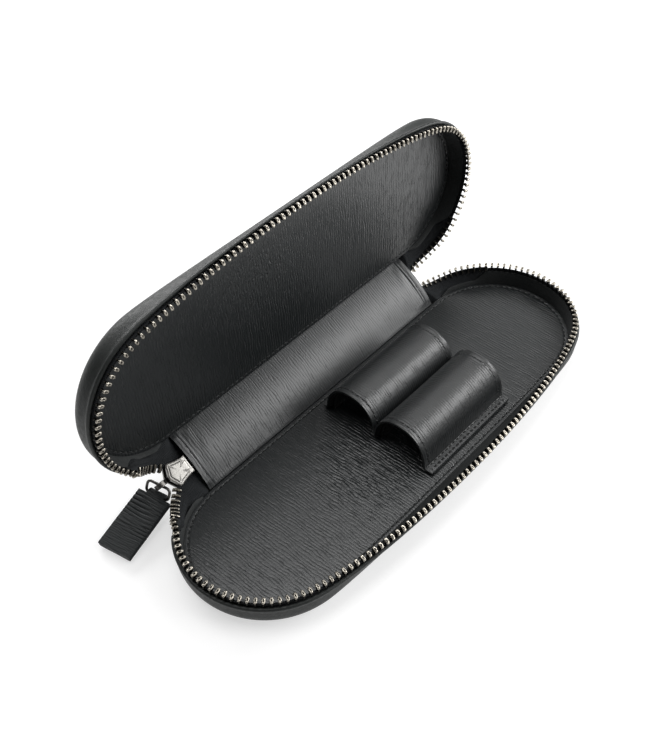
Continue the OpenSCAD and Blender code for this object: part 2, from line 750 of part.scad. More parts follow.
module lid_zip_tape() {
    color("#141414") on_lid() rim_tape();
}

module lid_zip_teeth() {
    color("#b9b4a8") on_lid() rim_teeth(1);
}

module lid_zip_end_tape() {
    color("#141414") free_tape(true);
}

module lid_zip_end_teeth() {
    color("#b9b4a8") free_teeth(true);
}

module slider_body() {
    color("#c9c9c6") slider_frame() slider_casting();
}

module pull_ring() {
    color("#9b9a94") ring_frame() wire_loop();
}

module pull_tab_front() {
    color("#2e3030") tab_frame() union() {
        tab_fold();
        translate([0, 0, tab_top]) linear_extrude(tab_layer) tab_outline(tab_shoulder);
    }
}

module pull_tab_back() {
    color("#2e3030") tab_frame() translate([0, 0, tab_top - glue_gap - tab_layer])
        linear_extrude(tab_layer) tab_outline(tab_shoulder);
}

base_outer_shell();
base_board();
base_lining_panel();
base_wall_lining();
base_zip_tape();
base_zip_teeth();
base_zip_end_tape();
base_zip_end_teeth();
pen_loop_strip();
pen_loop_lining();
spine_outer();
spine_core();
spine_lining();
zip_tail_tape();
zip_tail_teeth();
lid_outer_shell();
lid_board();
lid_lining_panel();
lid_wall_lining();
lid_zip_tape();
lid_zip_teeth();
lid_zip_end_tape();
lid_zip_end_teeth();
slider_body();
pull_ring();
pull_tab_front();
pull_tab_back();
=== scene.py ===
"""A zipped leather case for two fountain pens, standing open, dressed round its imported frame.

Each operator makes one part of the case: leather, woven tape, metal or thread.
The shape functions work in millimetres with the case shut, X along it, Y towards the spine
and Z up, and fold their points open with on_spine and on_half.
"""

import functools
import math

import bmesh
import bpy
import numpy as np
from bpy.props import FloatProperty, FloatVectorProperty, PointerProperty
from mathutils import Matrix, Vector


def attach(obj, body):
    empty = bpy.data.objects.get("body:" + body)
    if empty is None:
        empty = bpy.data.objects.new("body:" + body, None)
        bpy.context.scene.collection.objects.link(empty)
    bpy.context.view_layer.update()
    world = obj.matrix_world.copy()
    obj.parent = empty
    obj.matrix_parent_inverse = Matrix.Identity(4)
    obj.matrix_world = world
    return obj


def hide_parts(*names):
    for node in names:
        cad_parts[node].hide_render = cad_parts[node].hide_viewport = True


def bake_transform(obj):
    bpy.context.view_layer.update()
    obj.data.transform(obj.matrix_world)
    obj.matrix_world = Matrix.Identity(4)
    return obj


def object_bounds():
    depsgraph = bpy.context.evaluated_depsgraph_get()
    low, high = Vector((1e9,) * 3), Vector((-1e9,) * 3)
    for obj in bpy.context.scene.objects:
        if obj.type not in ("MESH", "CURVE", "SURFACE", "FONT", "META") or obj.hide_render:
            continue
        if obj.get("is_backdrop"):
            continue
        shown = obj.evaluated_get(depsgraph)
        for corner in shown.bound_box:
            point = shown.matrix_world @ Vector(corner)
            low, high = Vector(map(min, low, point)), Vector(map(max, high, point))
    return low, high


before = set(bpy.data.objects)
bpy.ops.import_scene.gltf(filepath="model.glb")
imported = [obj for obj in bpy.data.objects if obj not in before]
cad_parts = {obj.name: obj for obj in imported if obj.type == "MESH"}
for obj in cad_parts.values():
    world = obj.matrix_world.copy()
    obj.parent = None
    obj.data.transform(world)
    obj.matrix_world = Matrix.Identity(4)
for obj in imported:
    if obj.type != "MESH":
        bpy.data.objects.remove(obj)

bl_info = {
    "name": "Pen case",
    "version": (1, 0, 0),
    "blender": (4, 5, 0),
    "location": "3D View > Sidebar > Pen case",
    "description": "Makes the leather, zip and stitching of a case for two pens",
    "category": "Object",
}

CAD_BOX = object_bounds()
MM = 0.001
NEAR, FAR = -1, 1
HALVES = ("base", "lid")
UP = (0.0, 0.0, 1.0)


def linear(code):
    """An sRGB hex code as linear red, green, blue and 1."""
    raw = np.array([int(code[i : i + 2], 16) for i in (1, 3, 5)]) / 255
    rgb = np.where(raw <= 0.04045, raw / 12.92, ((raw + 0.055) / 1.055) ** 2.4)
    return (*rgb.tolist(), 1.0)


def length(text, value):
    return FloatProperty(
        name=text, description=text + ", in metres", default=value * MM, min=0, unit="LENGTH", precision=5
    )


def angle(text, value):
    return FloatProperty(name=text, description=text, default=math.radians(value), subtype="ANGLE")


def colour(text, code):
    return FloatVectorProperty(
        name=text, description=text + ", linear", default=linear(code), size=4, min=0, max=1, subtype="COLOR"
    )


class PenCaseBody(bpy.types.PropertyGroup):
    half_length: length("Half the length of the zip line", 84)
    end_radius: length("Radius of the round ends", 26.4)
    front_reach: length("Reach of the bowed front", 32)
    mesh_height: length("Height of the zip line", 11.6)
    outer_leather: length("Outer leather thickness", 1.0)
    edge_radius: length("Radius of the bottom edge", 5.5)
    wall_offset: length("Outer wall beyond the zip line", 1.35)
    wall_drop: length("Wall lip below the zip line", 2.1)
    lip_bead: length("Thickness of the turned lip", 1.3)
    rim_swell: length("Outward bow of the soft rim", 1.2)
    wall_tuck: length("Slope of the soft front wall", 6.2)
    tuck_half: length("Half the length that slopes", 62)
    lining_top: length("Height of the lining", 3.95)
    lining: length("Lining thickness", 1.35)
    wall_lining: length("Wall cloth thickness", 0.8)
    furrow: length("Depth of the furrow along the stitches", 0.1)
    stitch: length("Stitch length", 2.1)
    stitch_inset: length("Stitches in from the lining's edge", 1.65)
    crease_offset: length("Crease beyond the round ends", 1.5)
    crease_height: length("Height of the base crease", 1.3)
    crease_leather: length("Leather thickness in the creases", 0.4)
    spine_reach: length("Half the spine length", 56)
    spine_band: length("Spine band thickness", 0.8)
    spine_outer: length("Spine outer leather thickness", 0.6)
    band_bulge: length("Bulge of the spine band", 1.3)
    hem_width: length("Hem width of the spine band", 2.7)
    spine_lean: angle("Spine opened by", 52)
    lid_fold: angle("Lid opened by", 39.5)


class PenCaseZip(bpy.types.PropertyGroup):
    pitch: length("Tooth pitch", 2.2)
    tooth_w: length("Tooth width over the tape", 2.3)
    tape_t: length("Tape thickness", 0.5)
    end_tape_t: length("Tape thickness at the free ends", 0.4)
    tape_foot: length("Foot of the tape in the wall", 5.0)
    tape_top: length("Top of the tape", 10.3)
    free_turn: angle("Turn over which the ends are free", 48)
    slider_length: length("Slider length", 8)
    slider_width: length("Slider width", 8)
    tail_width: length("Slider width at its tail", 5.9)
    wire: length("Ring wire", 0.9)
    ring_width: length("Ring width", 8.4)
    ring_length: length("Ring length", 3.9)
    ring_bend: length("Radius of the ring's corners", 1.3)
    tab_length: length("Pull tab length", 21.4)
    tab_width: length("Pull tab width", 11.5)
    tab_layer: length("Pull tab leather", 1.1)
    ring_droop: angle("Ring hangs by", 60)
    tab_yaw: angle("Pull swung by", 11)
    pull_shift: length("Ring shifted in its lug", 0.5)


class PenCaseLoops(bpy.types.PropertyGroup):
    loop_x: length("Middle of the loops along the case", 11.8)
    loop_length: length("Loop length", 41.2)
    seam_y: length("Seam between the loops", 0.4)
    loop_width: length("Width of one loop", 20.4)
    loop_height: length("Height of a loop", 13.2)
    loop_leather: length("Loop leather", 1.3)
    loop_lining: length("Loop lining", 0.6)
    flange: length("Front flange", 3.1)
    heel: length("Back flange", 1.5)
    hem_stitch: length("Stitch length on the hems", 2.0)
    flange_stitch: length("Stitch length on the flange", 1.9)


class PenCaseColours(bpy.types.PropertyGroup):
    outer: colour("Smooth outer leather", "#222524")
    grained: colour("Grained lining leather", "#1b1e1f")
    band: colour("Polished spine leather", "#232627")
    loops: colour("Pen loop leather", "#181b1c")
    tab: colour("Pull tab leather", "#1d2021")
    suede: colour("Flesh side and inner lining", "#2b2d2d")
    tape: colour("Woven zip tape", "#27292b")
    teeth: colour("Nickel zip teeth", "#c2bcb0")
    plate: colour("Satin slider plate", "#a3a19d")
    dark_metal: colour("Dark nickel castings", "#6d6b68")
    thread: colour("Sewing thread", "#2c2f2f")
    board: colour("Grey board", "#8a8172")


class Sizes:
    """All the sizes in millimetres and radians, with the values that follow from them."""

    def __init__(self, context):
        scene = context.scene
        self.colours = scene.pen_case_colours
        for group in (scene.pen_case_body, scene.pen_case_zip, scene.pen_case_loops):
            for prop in group.bl_rna.properties:
                if prop.type == "FLOAT":
                    value = getattr(group, prop.identifier)
                    setattr(self, prop.identifier, value / (MM if prop.unit == "LENGTH" else 1))
        r, reach = self.end_radius, self.front_reach
        self.end_x = self.half_length - r
        self.bow_radius = (self.end_x**2 + reach**2 - r**2) / (2 * (reach - r))
        self.bow_y = self.bow_radius - reach
        self.bow_angle = math.atan2(self.end_x, self.bow_y)
        self.end_run = (math.pi - self.bow_angle) * r
        self.bow_run = 2 * self.bow_angle * self.bow_radius
        self.full_run = 2 * self.end_run + self.bow_run
        self.free_run = self.free_turn * r
        self.wall_top = self.mesh_height - self.wall_drop
        self.wall_inner = self.wall_offset - self.outer_leather
        self.corner_e = self.wall_offset - self.edge_radius
        self.crease_y = r + self.crease_offset
        self.lid_crease_z = 2 * self.mesh_height - self.crease_height
        self.tail_y = self.crease_y - 0.1
        self.slider_x = -(self.spine_reach + 0.7)
        self.lug_x = self.slider_length + 2.7
        self.channel = self.tooth_w / 2 + 0.2
        self.loop_start = self.loop_x - self.loop_length / 2


# ---------------------------------------------------------------- folding


def fold(s, p, z, turn):
    """Turns points about the crease at height z: Y and Z rotate by the angle, X stays."""
    dy, dz = p[..., 1] - s.crease_y, p[..., 2] - z
    c, n = math.cos(turn), math.sin(turn)
    return np.stack([p[..., 0], s.crease_y + dy * c + dz * n, z - dy * n + dz * c], -1)


def on_spine(s, p):
    """The spine stands open about the base's crease, so its points turn there by its lean."""
    return fold(s, p, s.crease_height, s.spine_lean)


def relaxed(s, p):
    """The soft front: its rim bows out between the round ends and its wall slopes in below the zip.

    Y moves by a share of both, which is level at the ends and greatest in the middle; the
    slope grows with the depth below the zip line.
    """
    x, y, z = p[..., 0], p[..., 1], p[..., 2]
    front = smooth(-y / (0.9 * s.front_reach))
    low = np.clip((s.mesh_height + 0.4 - z) / (s.mesh_height - 0.6), 0, 1)
    swell = s.rim_swell * np.clip(1 - (x / (1.06 * s.tuck_half)) ** 4, 0, 1)
    tuck = s.wall_tuck * np.clip(1 - (x / s.tuck_half) ** 2, 0, 1) ** 1.3
    return np.stack([x, y + front * (tuck * low - swell * (1 - low)), z], -1)


def on_half(s, p, half):
    """The lid is the base mirrored in the zip's plane, folded at both creases."""
    p = relaxed(s, np.asarray(p, float))
    if half == "base":
        return p
    shut = p * [1, 1, -1] + [0, 0, 2 * s.mesh_height]
    return on_spine(s, fold(s, shut, s.lid_crease_z, s.lid_fold))


def unit(v):
    """Vectors divided by their own lengths."""
    return v / np.linalg.norm(v, axis=-1, keepdims=True)


def smooth(t):
    """A soft step from 0 to 1: three times the square less twice the cube, level outside."""
    t = np.clip(t, 0, 1)
    return t * t * (3 - 2 * t)


# ---------------------------------------------------------------- outline and paths


def zip_line(s, run):
    """Point and outward angle of the zip line: an end circle, the bowed front, the other end circle."""
    run = np.asarray(run, float)
    first, second = run < s.end_run, run < s.end_run + s.bow_run
    bow = second & ~first
    turns = (
        math.pi / 2 + run / s.end_radius,
        1.5 * math.pi - s.bow_angle + (run - s.end_run) / s.bow_radius,
        1.5 * math.pi + s.bow_angle + (run - s.end_run - s.bow_run) / s.end_radius,
    )
    turn = np.where(first, turns[0], np.where(second, turns[1], turns[2]))
    radius = np.where(bow, s.bow_radius, s.end_radius)
    cx = np.where(first, -s.end_x, np.where(second, 0, s.end_x))
    return np.stack([cx + radius * np.cos(turn), np.where(bow, s.bow_y, 0) + radius * np.sin(turn)], -1), turn


def rim_stations(s, skip, ends=56, bow=72):
    """Runs along the open sides, close together round the ends."""
    skipped, front = skip * s.end_radius, s.end_run + s.bow_run
    return np.concatenate(
        [
            np.linspace(skipped, s.end_run, ends),
            np.linspace(s.end_run, front, bow)[1:-1],
            np.linspace(front, s.full_run - skipped, ends),
        ]
    )


def plan_loop(s, skip=0.03, hinge=40):
    """Base points, outward directions and the angle from the hinge, round the whole plan.

    The open sides come first and the straight hinge side closes the loop.
    """
    run = rim_stations(s, skip)
    p, turn = zip_line(s, run)
    out = np.stack([np.cos(turn), np.sin(turn)], -1)
    x = np.linspace(p[-1, 0], p[0, 0], hinge)[1:-1]
    side = np.stack([x, np.full_like(x, s.end_radius)], -1)
    from_hinge = np.minimum(run, s.full_run - run) / s.end_radius
    return (
        np.vstack([p, side, p[:1]]),
        np.vstack([out, np.tile([0.0, 1.0], (len(x), 1)), out[:1]]),
        np.concatenate([from_hinge, np.zeros(len(x)), from_hinge[:1]]),
    )


def plan_surface(s, e, z):
    """A surface over the whole plan from rows of [station, section]: distance out e and height z.

    The first and last sections are joined to the middle line, so that the solid is closed.
    """
    base, out, _ = plan_loop(s)
    ring = np.dstack([base[:, None] + e[..., None] * out[:, None], z])
    middle = np.stack([np.clip(base[:, 0], -s.end_x, s.end_x), np.zeros(len(base))], -1)
    share = np.linspace(0, 1, 14)[:-1, None]

    def to_middle(k):
        """Even steps from the middle line out to section k, at its height."""
        foot = np.column_stack([middle, ring[:, k, 2]])[:, None]
        return foot + (ring[:, k, None] - foot) * share

    return np.concatenate([to_middle(0), ring, to_middle(-1)[:, ::-1]], axis=1)


def walked(path):
    """Distance along a path at each of its points."""
    return np.concatenate([[0], np.cumsum(np.linalg.norm(np.diff(path, axis=0), axis=1))])


def at_runs(values, run, at):
    """Values that go with a path, read between its points at the distances at."""
    return np.stack([np.interp(at, run, column) for column in values.T], -1)


def resample(path, n):
    """The same path with n points at even distances."""
    run = walked(path)
    return at_runs(path, run, np.linspace(0, run[-1], n))


def swept(x, section):
    """A section in Y and Z carried straight along X."""
    u, y = np.meshgrid(x, section[:, 0], indexing="ij")
    return np.dstack([u, y, np.tile(section[:, 1], (len(x), 1))])


# ---------------------------------------------------------------- meshes


def grid_faces(rows, cols, wrap=False):
    """Four-sided faces of a grid of points, closed across the columns if wrap."""
    i = np.arange(rows - 1)[:, None]
    j = np.arange(cols if wrap else cols - 1)[None]
    k = (j + 1) % cols
    return np.stack([i * cols + j, (i + 1) * cols + j, (i + 1) * cols + k, i * cols + k], -1).reshape(-1, 4)


class Skin:
    """Gathers grids of points, in millimetres, into one mesh with its pattern coordinates."""

    def __init__(self):
        self.points, self.faces, self.uv, self.count = [], [], [], 0

    def grid(self, points, uv=None, wrap=False):
        """Adds a grid of points, with faces between its rows and columns."""
        return self.add(points.reshape(-1, 3), grid_faces(*points.shape[:2], wrap), uv)

    def add(self, points, faces, uv=None):
        """Adds points and their faces; X and Y serve as pattern coordinates unless uv is given."""
        self.points.append(points)
        self.faces.extend([v + self.count for v in face] for face in faces)
        self.uv.append(points[:, :2] if uv is None else np.asarray(uv, float).reshape(-1, 2))
        self.count += len(points)
        return self

    def many(self, shape, at, x, y, z):
        """One small shape at many places: each point is at + X times x, Y times y and Z times z."""
        p, faces, uv = shape
        placed = at[:, None] + np.einsum("pk,knc->npc", p, np.stack([x, y, z]))
        repeated = [[v + k * len(p) for v in face] for k in range(len(at)) for face in faces]
        return self.add(placed.reshape(-1, 3), repeated, np.tile(uv, (len(at), 1)))

    def slab(self, points, thickness, uv=None, bead=0.5):
        """A sheet of that thickness round a grid: front, rounded side, back and side again."""
        along, across = np.gradient(points, axis=0), np.gradient(points, axis=1)
        half = unit(np.cross(along, across) + 1e-12) * (np.asarray(thickness) / 2)
        edge = unit(across) * (np.asarray(thickness) / 2 * bead)
        sides = points[:, -1:] + edge[:, -1:], points[:, :1] - edge[:, :1]
        loop = np.concatenate([points + half, sides[0], (points - half)[:, ::-1], sides[1]], axis=1)
        flat = points[..., :2] if uv is None else uv
        flat = np.concatenate([flat, flat[:, -1:], flat[:, ::-1], flat[:, :1]], axis=1)
        start, m = self.count, points.shape[1]
        self.grid(loop, flat, wrap=True)
        k = np.arange(m - 1)
        cap = np.stack([k, k + 1, 2 * m - k - 1, 2 * m - k], -1)
        for base, order in ((start, 1), (start + (len(loop) - 1) * loop.shape[1], -1)):
            self.faces.extend((cap[:, ::order] + base).tolist())
            self.faces.append([base + v for v in (m - 1, m, m + 1)[::order]])
            self.faces.append([base + v for v in (0, 2 * m, 2 * m + 1)[::order]])
        return self

    def build(self, name, material, place, rounded=True, closed=True):
        """The mesh at its place, in metres: doubles merged and, on a closed one, normals outwards."""
        mesh = bpy.data.meshes.new(name)
        mesh.from_pydata((place(np.vstack(self.points)) * MM).tolist(), [], self.faces)
        layer = mesh.uv_layers.new(name="UVMap")
        index = np.zeros(len(mesh.loops), np.int32)
        mesh.loops.foreach_get("vertex_index", index)
        layer.data.foreach_set("uv", np.vstack(self.uv)[index].astype(np.float32).ravel())
        work = bmesh.new()
        work.from_mesh(mesh)
        bmesh.ops.remove_doubles(work, verts=work.verts, dist=2e-7)
        bmesh.ops.dissolve_degenerate(work, edges=work.edges, dist=1e-8)
        if closed:
            bmesh.ops.recalc_face_normals(work, faces=work.faces)
        work.to_mesh(mesh)
        work.free()
        mesh.polygons.foreach_set("use_smooth", [rounded] * len(mesh.polygons))
        if rounded:
            mesh.set_sharp_from_angle(angle=math.radians(50))
        mesh.materials.append(material)
        thing = bpy.data.objects.new(name, mesh)
        bpy.context.scene.collection.objects.link(thing)
        return thing


def piece(s, name, skin, finish, body, *nodes, bent=False, place=None, **mesh):
    """Builds a piece in its finish, on its body, in place of CAD nodes.

    It is folded open as its body stands, or put there by place. A bent piece is left unattached;
    its caller bakes its place into the mesh.
    """
    if place is None:
        place = (lambda p: on_spine(s, p)) if body == "spine" else (lambda p: on_half(s, p, body))
    thing = skin.build(name, finish_of(s, finish), place, **mesh)
    if not bent:
        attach(thing, body)
    if nodes:
        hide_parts(*nodes)
    return thing


def dress(s, name, finish):
    """A finish for a CAD node that stays."""
    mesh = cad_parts[name].data
    mesh.materials.clear()
    mesh.materials.append(finish_of(s, finish))


def tube(path, radius, sides=12, closed=False):
    """A round section carried along a path: each ring stands square to the path."""
    way = unit(np.roll(path, -1, 0) - np.roll(path, 1, 0) if closed else np.gradient(path, axis=0))
    side = unit(np.cross(way, UP))
    up = np.cross(side, way)
    a = np.linspace(0, 2 * math.pi, sides + 1)[None, :, None]
    r = np.broadcast_to(np.asarray(radius, float), (len(path),))[:, None, None]
    ring = path[:, None] + r * (np.cos(a) * side[:, None] + np.sin(a) * up[:, None])
    return np.concatenate([ring, ring[:1]]) if closed else ring


def ripple(u, v, seed, waves=9):
    """Slow, irregular waves over two parameters, from a sum of sines; about 1 high."""
    rng = np.random.default_rng(seed)
    total = np.zeros(np.broadcast(u, v).shape)
    for _ in range(waves):
        fu, fv = rng.normal(0, 1, 2)
        total = total + np.sin(fu * u + fv * v + rng.uniform(0, 6.28)) / math.sqrt(waves / 2)
    return total


# ---------------------------------------------------------------- materials


def node(tree, kind, inputs=(), out=0, **settings):
    """Adds a node with its settings and gives one of its outputs.

    Inputs are named, or in the node's own order; each is a value or a linked output.
    """
    made = tree.nodes.new("ShaderNode" + kind)
    for key, value in settings.items():
        setattr(made, key, value)
    for key, value in inputs.items() if isinstance(inputs, dict) else enumerate(inputs):
        if isinstance(value, bpy.types.NodeSocket):
            tree.links.new(value, made.inputs[key])
        else:
            made.inputs[key].default_value = value
    return made.outputs[out] if made.outputs else None


def material(name, paint, *values, **settings):
    """A material whose shader gets the sockets that paint works out with add, the node function."""
    made = bpy.data.materials.new(name)
    made.use_nodes = True
    add = functools.partial(node, made.node_tree)
    made.node_tree.nodes.clear()
    add("OutputMaterial", {"Surface": add("BsdfPrincipled", paint(add, *values, **settings))})
    return made


def shade(rgba, share):
    """A colour times a share, with no channel over 1."""
    return (*[min(1.0, c * share) for c in rgba[:3]], 1.0)


def pressed_leather(add, base, line, run, depth, rough, specular=0.5, furrow_shade=0.45, wander=1.3, worn=None):
    """Calf leather, drum dyed and plate pressed with fine, wavy parallel lines.

    It looks silky, with rougher furrows that break its sheen. The furrows are darkened by painted shade
    and the ridges a little lightened by a painted highlight. Lines stand about line mm apart and sway
    over run mm. Round the place worn (x, y, reach) they are creased deeper.
    """
    uv = add("UVMap", uv_map="UVMap")
    sway, patch, pores, cloud = (
        add(
            "TexNoise",
            {
                "Vector": add("Mapping", {"Vector": uv, "Scale": (*scale, 1)}),
                "Scale": 1.0,
                "Detail": detail,
                "Roughness": fine,
            },
        )
        for scale, detail, fine in (
            ((1 / (3.5 * line), 1 / run), 3.0, 0.6),
            ((1 / (1.6 * line), 2 / run), 2.0, 0.5),
            ((2.2, 1.4), 3.0, 0.5),
            ((1 / 25, 1 / 25), 3.0, 0.5),
        )
    )
    across = add("SeparateXYZ", (add("Mapping", {"Vector": uv, "Scale": (1 / line, 1, 1)}),))
    place = add("Math", (sway, 2 * wander, across), operation="MULTIPLY_ADD")
    ridge = add("MapRange", (add("Math", (place, 0.5), operation="PINGPONG"), 0.0, 0.3))
    faint = add("MapRange", (patch, 0.35, 0.65, 0.15, 1.0))
    valley = add("Math", (add("Math", (1.0, ridge), operation="SUBTRACT"), faint), operation="MULTIPLY")
    ridge = add("Math", (1.0, valley), operation="SUBTRACT")
    tone = add("Math", (ridge, add("MapRange", (cloud, 0.3, 0.7, 0.85, 1.0))), operation="MULTIPLY")
    height = add("Math", (pores, 0.35, ridge), operation="MULTIPLY_ADD")
    if worn:
        x, y, reach = worn
        moved = add("Mapping", {"Vector": uv, "Location": (-x, -y, 0)})
        away = add("VectorMath", (moved,), "Value", operation="LENGTH")
        distance = add("MapRange", (away, 0.4 * reach, reach, 2.6 * depth * MM, depth * MM))
    else:
        distance = depth * MM
    return {
        # Painted shade in the furrows, a faint painted highlight on the ridges; the clouds vary at random.
        "Base Color": add("Mix", {0: tone, 6: shade(base, furrow_shade), 7: shade(base, 1.12)}, 2, data_type="RGBA"),
        "Roughness": add("MapRange", (ridge, 0, 1, min(1, rough + 0.15), rough)),
        "Normal": add("Bump", {"Height": height, "Distance": distance, "Strength": 1.0}),
        "IOR": 1.5,
        "Specular IOR Level": specular,
    }


def smooth_leather(add, base, rough, pore=0.45, depth=0.05, specular=0.4):
    """Full-grain calf, dyed charcoal and matt finished: soft light, fine pores and slow clouds of dye."""
    here = add("TexCoord", out="Object")
    pored, clouded, grained = (
        add("Mapping", {"Vector": here, "Scale": (1000 / size,) * 3}) for size in (pore, 14, 1.1)
    )
    cells = add("TexVoronoi", {"Vector": pored, "Scale": 1.0, "Randomness": 1.0}, "Distance")
    cloud = add("TexNoise", {"Vector": clouded, "Scale": 1.0, "Detail": 5.0})
    grain = add("TexNoise", {"Vector": grained, "Scale": 1.0, "Detail": 3.0})
    level = add("MapRange", (cloud, 0.3, 0.7))
    height = add("Math", (cells, grain), operation="ADD")
    return {
        "Base Color": add("Mix", {0: level, 6: shade(base, 0.82), 7: shade(base, 1.2)}, 2, data_type="RGBA"),
        "Roughness": add("MapRange", (grain, 0.3, 0.7, rough - 0.05, rough + 0.08)),
        "Normal": add("Bump", {"Height": height, "Distance": depth * MM, "Strength": 0.8}),
        "IOR": 1.5,
        "Specular IOR Level": specular,
    }


def woven(add, base, rib):
    """Polyester tape woven in herringbone: matt, with ribs that change direction every three threads.

    The real ribs are finer; they are drawn rib mm apart so that they show.
    """
    uv = add("UVMap", uv_map="UVMap")
    across = add("SeparateXYZ", (add("Mapping", {"Vector": uv, "Scale": (1 / rib,) * 3}),))
    zig = add("Math", (across.node.outputs[1], 3.0), operation="PINGPONG")
    turn = add("Math", (add("Math", (across, zig), operation="ADD"), 2 * math.pi), operation="MULTIPLY")
    level = add("MapRange", (add("Math", (turn,), operation="SINE"), -1, 1))
    place = add("Mapping", {"Vector": uv, "Scale": (4.0,) * 3})
    fuzz = add("TexNoise", {"Vector": place, "Scale": 1.0, "Detail": 2.0})
    fuzz = add("MapRange", (fuzz, 0.3, 0.7, 0.6, 1.0))
    tone = add("Math", (level, fuzz), operation="MULTIPLY")
    return {
        "Base Color": add("Mix", {0: tone, 6: shade(base, 0.45), 7: shade(base, 1.9)}, 2, data_type="RGBA"),
        "Normal": add("Bump", {"Height": level, "Distance": 0.12 * MM, "Strength": 1.0}),
        "IOR": 1.5,
        "Roughness": 0.85,
        "Specular IOR Level": 0.25,
    }


def metal(add, base, rough, grit, wear=0.25, painted_shade=False):
    """Nickel plate on cast brass: bright, with fine tumbling marks and cloudy tarnish.

    Where V of its pattern is 1 it is painted nearly black, as shade.
    """
    here = add("TexCoord", out="Object")
    marks, tarnish = (
        add("TexNoise", {"Vector": add("Mapping", {"Vector": here, "Scale": (1000 / size,) * 3}), **more})
        for size, more in ((grit, {"Scale": 1.0, "Detail": 4.0}), (3.5, {"Scale": 1.0, "Detail": 2.0}))
    )
    level = add("MapRange", (tarnish, 0.35, 0.65))
    tone = add("Mix", {0: level, 6: shade(base, 1 - wear), 7: base}, 2, data_type="RGBA")
    # Painted shade: nearly black where V of the pattern is 1.
    if painted_shade:
        dark = add("SeparateXYZ", (add("UVMap", uv_map="UVMap"),), 1)
        tone = add("Mix", {0: dark, 6: tone, 7: shade(base, 0.04)}, 2, data_type="RGBA")
    return {
        "Base Color": tone,
        "Metallic": 1.0,
        "Roughness": add("MapRange", (marks, 0.3, 0.7, rough - 0.05, rough + 0.08)),
        "Normal": add("Bump", {"Height": marks, "Distance": 0.01 * MM, "Strength": 0.5}),
    }


def spun(add, base):
    """Polyester sewing thread, three plies twisted: slanting ply marks and a low sheen."""
    place = add("Mapping", {"Vector": add("TexCoord", out="Object"), "Scale": (1000 / 0.35,) * 3})
    wave = add("TexWave", {"Vector": place, "Scale": 1.0, "Distortion": 1.0}, "Fac")
    return {
        "Base Color": add("Mix", {0: wave, 6: shade(base, 0.6), 7: shade(base, 1.2)}, 2, data_type="RGBA"),
        "Normal": add("Bump", {"Height": wave, "Distance": 0.05 * MM, "Strength": 0.6}),
        "IOR": 1.55,
        "Roughness": 0.55,
        "Sheen Weight": 0.1,
    }


def pulp_board(add, base):
    """Grey board rolled from recycled pulp: matt, with fibres and specks."""
    place = add("Mapping", {"Vector": add("TexCoord", out="Object"), "Scale": (1000 / 0.8,) * 3})
    specks = add("TexNoise", {"Vector": place, "Scale": 1.0, "Detail": 6.0})
    level = add("MapRange", (specks, 0.3, 0.7))
    return {
        "Base Color": add("Mix", {0: level, 6: shade(base, 0.8), 7: base}, 2, data_type="RGBA"),
        "Normal": add("Bump", {"Height": specks, "Distance": 0.06 * MM, "Strength": 0.7}),
        "IOR": 1.45,
        "Roughness": 0.9,
    }


def paper(add, base, glow):
    """Plain white paper, matt. It glows only for the camera and in reflections, so it lights nothing."""
    path = add("LightPath", out="Is Camera Ray")
    seen = add("Math", (path, path.node.outputs["Is Glossy Ray"]), operation="MAXIMUM")
    seen = add("Math", (seen, path.node.outputs["Is Transmission Ray"]), operation="MAXIMUM")
    return {
        "Base Color": base,
        "Roughness": 0.9,
        "Specular IOR Level": 0.1,
        "Emission Color": (1, 1, 1, 1),
        "Emission Strength": add("Math", (seen, glow), operation="MULTIPLY"),
    }


# For each finish: its material's name, how it is painted, its colour, a share of that colour and
# the values of the paint. Pressed lines: spacing, sway and depth in mm, roughness, shine, painted shade in
# the furrows.
FINISHES = {
    # Even and matt, with broad soft highlights along the turned edges.
    "outer": ("calf_leather_smooth_matt", smooth_leather, "outer", 1, 0.5),
    # Fine lines on a silky sheen, which break up any highlight; painted shade darkens their furrows.
    "lining": ("calf_leather_pressed_lines", pressed_leather, "grained", 1, 1.0, 9.0, 0.08, 0.33, 0.8, 0.6),
    # The same lines, polished: long highlights follow the bulge.
    "band": ("calf_leather_pressed_polished", pressed_leather, "band", 1, 0.95, 9.0, 0.06, 0.4, 0.8, 0.45),
    # Finer lines and more polish, so that the arches catch the light.
    "loops": ("calf_leather_fine_polished", pressed_leather, "loops", 1, 0.9, 8.0, 0.1, 0.4, 0.95, 0.35, 0.5),
    # Dull, with lines so close that the folds show more than the grain.
    "tab": ("calf_leather_creased", pressed_leather, "tab", 1, 0.7, 6.0, 0.05, 0.55, 0.25),
    # Napped and dull: it takes the light without any highlight.
    "suede": ("leather_flesh_side", smooth_leather, "suede", 1, 0.8, 0.3, 0.08),
    # Dull ribs that catch the light in turn.
    "tape": ("polyester_tape_herringbone", woven, "tape", 1, 0.62),
    # Bright edges, with painted shade, nearly black, in the hollow heads and on the legs.
    "teeth": ("nickel_brass_teeth_tumbled", metal, "teeth", 1, 0.28, 0.35, 0.3, True),
    # Satin: one broad, soft reflection.
    "plate": ("nickel_plate_satin", metal, "plate", 1, 0.4, 0.2, 0.06),
    # Dark, smooth reflections on rounded castings and wire.
    "dark_metal": ("nickel_cast_dark", metal, "dark_metal", 1, 0.36, 0.3),
    # A low sheen that flickers along the twist.
    "thread": ("polyester_thread_twisted", spun, "thread", 1),
    # Nearly black, as no light leaves a needle hole.
    "hole": ("needle_hole_dark", smooth_leather, "suede", 0.3, 0.9, 0.3, 0.02),
    # Chalky and flat.
    "board": ("grey_board_pulp", pulp_board, "board", 1),
}
# Where the lining is creased deeper, in X and Y, and how far that reaches.
LINING_WORN = (-14, -8, 26)


def finish_of(s, key):
    """The material of a finish, made the first time that it is asked for."""
    name, paint, dye, share, *values = FINISHES[key]
    worn = {"worn": LINING_WORN} if key == "lining" else {}
    base = shade(tuple(getattr(s.colours, dye)), share)
    return bpy.data.materials.get(name) or material(name, paint, base, *values, **worn)


